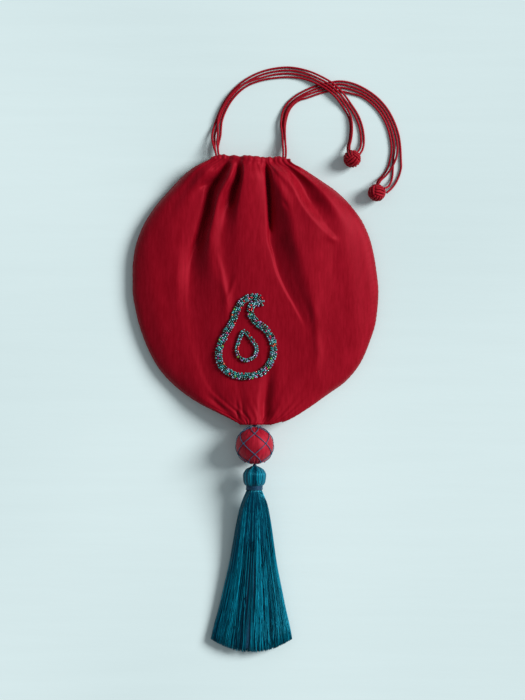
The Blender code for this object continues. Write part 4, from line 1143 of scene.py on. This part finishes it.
def make_net(material):
    """Knotted net over the ball: zigzag threads that are tied where they meet."""
    radius = BALL_RADIUS + NET_THREAD / 2
    levels = np.radians(np.linspace(*NET_LEVELS, NET_ROWS + 1))
    start = math.pi / 2 - math.pi / NET_POINTS
    shape = Shape()
    for row in range(NET_ROWS):
        for i in range(2 * NET_POINTS):
            here, there = (row, row + 1) if i % 2 == 0 else (row + 1, row)
            line = []
            for t in np.linspace(0, 1, 9):
                level = levels[here] + (levels[there] - levels[here]) * t
                around = start + TURN * (i + t + row) / (2 * NET_POINTS)
                line.append(net_place(level, around, radius))
            shape.add_tube(twisted_rings(np.array(line), 0.42 * NET_THREAD, corners=6, plies=2,
                                         lay=2.2 * MM, depth=0.2))
    for row in range(NET_ROWS + 1):
        for i in range(NET_POINTS):
            around = start + TURN * (2 * i + row) / (2 * NET_POINTS)
            add_small_knot(shape, net_place(levels[row], around, radius + 0.1 * MM), NET_KNOT / 2)
    net = shape.piece("net_threads", [material])
    take_place(net, "netted_ball", "net_thread",
               *[f"net_row_{row + 1}" for row in range(NET_NODES)])


def add_small_knot(shape, centre, radius):
    """A thread wound over itself into a small lump."""
    turns = np.linspace(0, 3 * TURN, 40)
    swing = 0.55 * radius
    tilt = 0.9 * np.sin(turns / 3)
    line = xyz(swing * np.cos(turns), swing * np.sin(turns) * np.cos(tilt),
               swing * np.sin(turns) * np.sin(tilt))
    shape.add_tube(twisted_rings(line + np.array(centre), 0.45 * radius, corners=5, plies=2,
                                 lay=2 * MM))


def make_links(material):
    """The knots of the thread that carries the ball and the tassel."""
    for name, node, body, centre in (("bag_thread_knot", "bag_knot", "upper_link", BAG_LINK),
                                     ("head_thread_knot", "head_knot", "lower_link", TASSEL_LINK)):
        shape = Shape()
        for tilt in (0, 60, 120):
            turn = np.array(Euler((math.radians(tilt), 0, math.radians(tilt))).to_matrix())
            angle = np.linspace(0, TURN, 28)
            ring = 0.6 * LINK_KNOT / 2
            line = xyz(ring * np.cos(angle), ring * np.sin(angle), 0) @ turn.T + np.array(centre)
            shape.add_tube(twisted_rings(line, 0.36 * LINK_KNOT / 2, corners=8, plies=2,
                                         lay=2.4 * MM))
        take_place(shape.piece(name, [material]), body, "net_thread", node)
    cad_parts["hanging_thread"].data.materials[0] = material


def tassel_centre(along):
    """Middle of the tassel at a distance from its top, drooping from the thread to the table."""
    rest = (along - SKIRT_TOP) / SKIRT_LENGTH
    foot = FOOT_HEIGHT / 2 + 0.1 * MM
    drop = LINK_HEIGHT - foot
    height = smooth_value([(0, foot + drop), (0.08, foot + 0.76 * drop), (0.2, foot + 0.46 * drop),
                           (0.44, foot + 0.17 * drop), (0.68, foot + 0.05 * drop), (0.9, foot),
                           (1, foot)], rest)
    return TASSEL_LINK.x + TASSEL_LEAN * along / (SKIRT_TOP + SKIRT_LENGTH), height


def tassel_sections():
    """(distance from the top, half width, half height) down the tassel."""
    neck, foot = NECK_WIDTH / 2, FOOT_WIDTH / 2
    skirt = [(0.08, 0.335, 1.6), (0.2, 0.44, 1.55), (0.44, 0.59, 1.33), (0.68, 0.79, 1.13),
             (0.86, 0.92, 1.0), (1, 1, 1)]
    sections = [(SKIRT_TOP, neck, neck), (SKIRT_TOP + 2.4 * MM, 1.2 * neck, 1.08 * neck)]
    return sections + [(SKIRT_TOP + share * SKIRT_LENGTH, wide * foot, high * FOOT_HEIGHT / 2)
                       for share, wide, high in skirt]


def skirt_point(along, angle, depth, sections):
    """Place in the skirt at a distance from the top, an angle round it and a share outwards."""
    wide = smooth_value([(a, w) for a, w, _ in sections], along) * depth
    high = smooth_value([(a, h) for a, _, h in sections], along) * depth
    x, z = tassel_centre(along)
    length = sections[-1][0]
    dx = wide * np.cos(angle)
    y = TASSEL_LINK.y - along
    y = y + ease((along / length - 0.7) / 0.3) * FOOT_ARC * (dx / (FOOT_WIDTH / 2)) ** 2
    level = np.maximum(z + high * np.sin(angle), SILK_THREAD / 2 + 0.03 * MM)
    return xyz(x + dx, y, level)


def thread_color(rng, angle, middle_dark=SKIRT_MIDDLE_DARK):
    """Number of a thread's colour: lighter on the tassel's right side, which faces the window, as a
    painted highlight, and darker along its middle.
    """
    chances = np.array([share for *_, share in TASSEL_COLORS], float)
    chances[NAVY] *= 0.6 + middle_dark * math.exp(-((math.cos(angle) / 0.5) ** 2))
    # More cyan threads on the side that faces the window: a painted highlight.
    chances[CYAN] *= 0.5 + 1.6 * max(0.0, math.cos(angle))
    return int(rng.choice(len(chances), p=chances / chances.sum()))


def make_skirt(materials):
    """Loose silk threads that hang in locks, cut along an arc at the foot."""
    rng = np.random.default_rng(SEED + 7)
    sections = tassel_sections()
    start, end = sections[0][0] - 1.2 * MM, sections[-1][0]
    locks = []
    for _ in range(SKIRT_LOCKS):
        angle = rng.uniform(0, TURN)
        locks.append((angle, rng.uniform(0.07, 0.24), rng.normal(0, 0.12),
                      thread_color(rng, angle)))
    shape = Shape()
    for _ in range(SKIRT_THREADS):
        middle, spread, lean, slot = locks[rng.integers(SKIRT_LOCKS)]
        angle = middle + rng.normal(0, spread)
        depth = 1 - abs(rng.normal(0, 0.12))
        stop = end - abs(rng.normal(0, 1.2 * MM))
        # Short navy threads over the top of the skirt, just below the binding: painted shade that
        # darkens it there.
        if rng.random() < SHORT_SHADE_THREADS:
            angle = rng.normal(1.5, 0.6)
            stop = start + (end - start) * rng.uniform(0.1, 0.4)
            depth, slot = 0.99, NAVY
        along = np.linspace(start, stop, 17)
        share = (along - start) / (end - start)
        sway = np.sin(TURN * (rng.uniform(0.4, 1.4) * share + rng.random()))
        wander = lean * share + 0.06 * sway * share
        deep = depth - 0.02 * np.sin(TURN * (share * rng.uniform(0.5, 1.5) + rng.random()))
        inside = np.clip(deep, 0.3, 0.985) * (1 - 0.05 * (1 - share))
        line = skirt_point(along, angle + wander, inside, sections)
        # Thinner towards the top, so more of the dark core shows there as painted shade.
        thick = SILK_THREAD / 2 * (0.55 + 0.45 * ease(share / 0.4))
        rings = twisted_rings(line, thick, corners=3, plies=1, lay=0.05, depth=0)
        shape.add_tube(rings, slot if rng.random() < LOCK_COLOR_SHARE else thread_color(rng, angle))
    return shape.piece("tassel_skirt", materials)


def make_skirt_shade_core(material):
    """Packed threads inside the skirt, seen between the outer ones, in the net's dark thread
    colour: painted shade in the gaps.
    """
    sections = tassel_sections()
    along = np.linspace(sections[0][0] - 1 * MM, sections[-1][0] - 3 * MM, 40)
    angle = circle(96)
    ridges = 1 - 0.05 * (np.arange(len(angle)) % 2)
    rows = [skirt_point(np.full_like(angle, a), angle, 0.8 * ridges, sections) for a in along]
    return tube_piece("tassel_shade_core", np.array(rows), material)


def make_head(materials, core_material):
    """Threads folded over the hanging thread's knot and drawn in at the neck."""
    rng = np.random.default_rng(SEED + 8)
    head, neck = HEAD_WIDTH / 2, NECK_WIDTH / 2
    profile = [(0.35 * MM, 2.7 * MM), (0.9 * MM, 3.6 * MM), (0.09 * HEAD_LENGTH, 0.52 * head),
               (0.2 * HEAD_LENGTH, 0.79 * head), (0.45 * HEAD_LENGTH, head),
               (0.78 * HEAD_LENGTH, 0.95 * head), (HEAD_LENGTH - 0.6 * MM, 0.8 * head),
               (HEAD_LENGTH + 0.2 * MM, neck), (HEAD_LENGTH + 2 * MM, 0.96 * neck)]
    along = np.linspace(profile[0][0], profile[-1][0], 26)
    radius = smooth_value(profile, along)
    x, z = tassel_centre(along)
    y = TASSEL_LINK.y - along
    shape = Shape()
    for i in range(HEAD_THREADS):
        angle = TURN * (i + rng.normal(0, 0.25)) / HEAD_THREADS
        angle = angle + 0.012 * np.sin(TURN * (along / 0.012 + rng.random()))
        reach = radius - 0.5 * SILK_THREAD - abs(rng.normal(0, 0.1 * MM))
        line = xyz(x + reach * np.cos(angle), y, z + reach * np.sin(angle))
        rings = twisted_rings(line, 0.36 * MM, corners=4, plies=1, lay=0.05, depth=0)
        shape.add_tube(rings, thread_color(rng, float(angle[0]), HEAD_MIDDLE_DARK))
    # Core under the head's threads in the net's dark thread colour: painted shade in the gaps.
    angle = circle(48)
    rows = [xyz(cx + 0.93 * r * np.cos(angle), cy, cz + 0.93 * r * np.sin(angle))
            for cx, cy, cz, r in zip(x, y, z, radius)]
    shape.add_tube(np.array(rows), slot=len(materials))
    return shape.piece("tassel_head", materials + [core_material])


def make_binding(material):
    """Thread wound round the neck, turn beside turn."""
    rng = np.random.default_rng(SEED + 9)
    angle = np.linspace(0, TURN * (BINDING_TURNS + 0.6), 230)
    along = HEAD_LENGTH + BINDING_LENGTH * np.linspace(0.1, 0.9, len(angle))
    along = along + 0.05 * MM * noise_of(rng, angle, 5, 0.1, 0.5)
    radius = NECK_WIDTH / 2 + 0.45 * MM + 0.06 * MM * noise_of(rng, angle, 5, 0.1, 0.5)
    x, z = tassel_centre(along)
    line = xyz(x + radius * np.cos(angle), TASSEL_LINK.y - along, z + radius * np.sin(angle))
    rings = twisted_rings(line, 0.5 * BINDING_THREAD, corners=8, plies=2, lay=2.4 * MM, depth=0.15)
    return tube_piece("binding_thread", rings, material)


def make_tassel(thread):
    """Skirt, head and binding, with the net's dark thread for the binding and, on the cores, as
    painted shade between the threads.
    """
    silks = [tassel_material(name, dark, light) for name, dark, light, _ in TASSEL_COLORS]
    for piece in (make_skirt(silks), make_skirt_shade_core(thread), make_head(silks, thread)):
        take_place(piece, "tassel", "tassel_silk", "tassel_threads")
    take_place(make_binding(thread), "tassel", "net_thread", "tassel_binding")


def make_floor():
    shape = Shape()
    corners = ((-1, -1), (1, -1), (1, 1), (-1, 1))
    shape.add([(x * FLOOR_REACH, y * FLOOR_REACH, 0) for x, y in corners], [(0, 1, 2, 3)])
    shape.piece("floor", [floor_material()])


def make_light():
    """Soft light from a window on one side, and weaker light from all round."""
    window = bpy.data.objects.new("key", bpy.data.lights.new("key", "SUN"))
    window.data.angle = WINDOW_SPREAD
    window.data.energy = WINDOW_STRENGTH
    window.data.color = WINDOW_COLOR
    window.rotation_euler = Vector(WINDOW_SIDE).to_track_quat("Z", "Y").to_euler()
    bpy.context.scene.collection.objects.link(window)
    world = bpy.data.worlds.new("studio")
    world.use_nodes = True
    sky = world.node_tree.nodes["Background"]
    sky.inputs["Color"].default_value = SKY_COLOR
    sky.inputs["Strength"].default_value = SKY_STRENGTH
    bpy.context.scene.world = world
    bpy.context.scene.view_settings.view_transform = "Standard"


make_camera()
dark_cord = cord_material("cord_in_shade")
make_drawstrings(cord_material("red_twisted_cord"), dark_cord)
front_cloth = make_bag(silk_material())
make_motif(front_cloth)
# The net's dark thread silk, also used on the tassel's cores as painted shade.
net_silk_and_shade = thread_material("net_thread_silk_and_shade", NET_DARK, NET_LIGHT)
make_ball(ball_silk_material())
make_net(thread_material("net_cord_silk", NET_CORD_DARK, NET_CORD_LIGHT))
make_links(net_silk_and_shade)
make_tassel(net_silk_and_shade)
make_floor()
make_light()
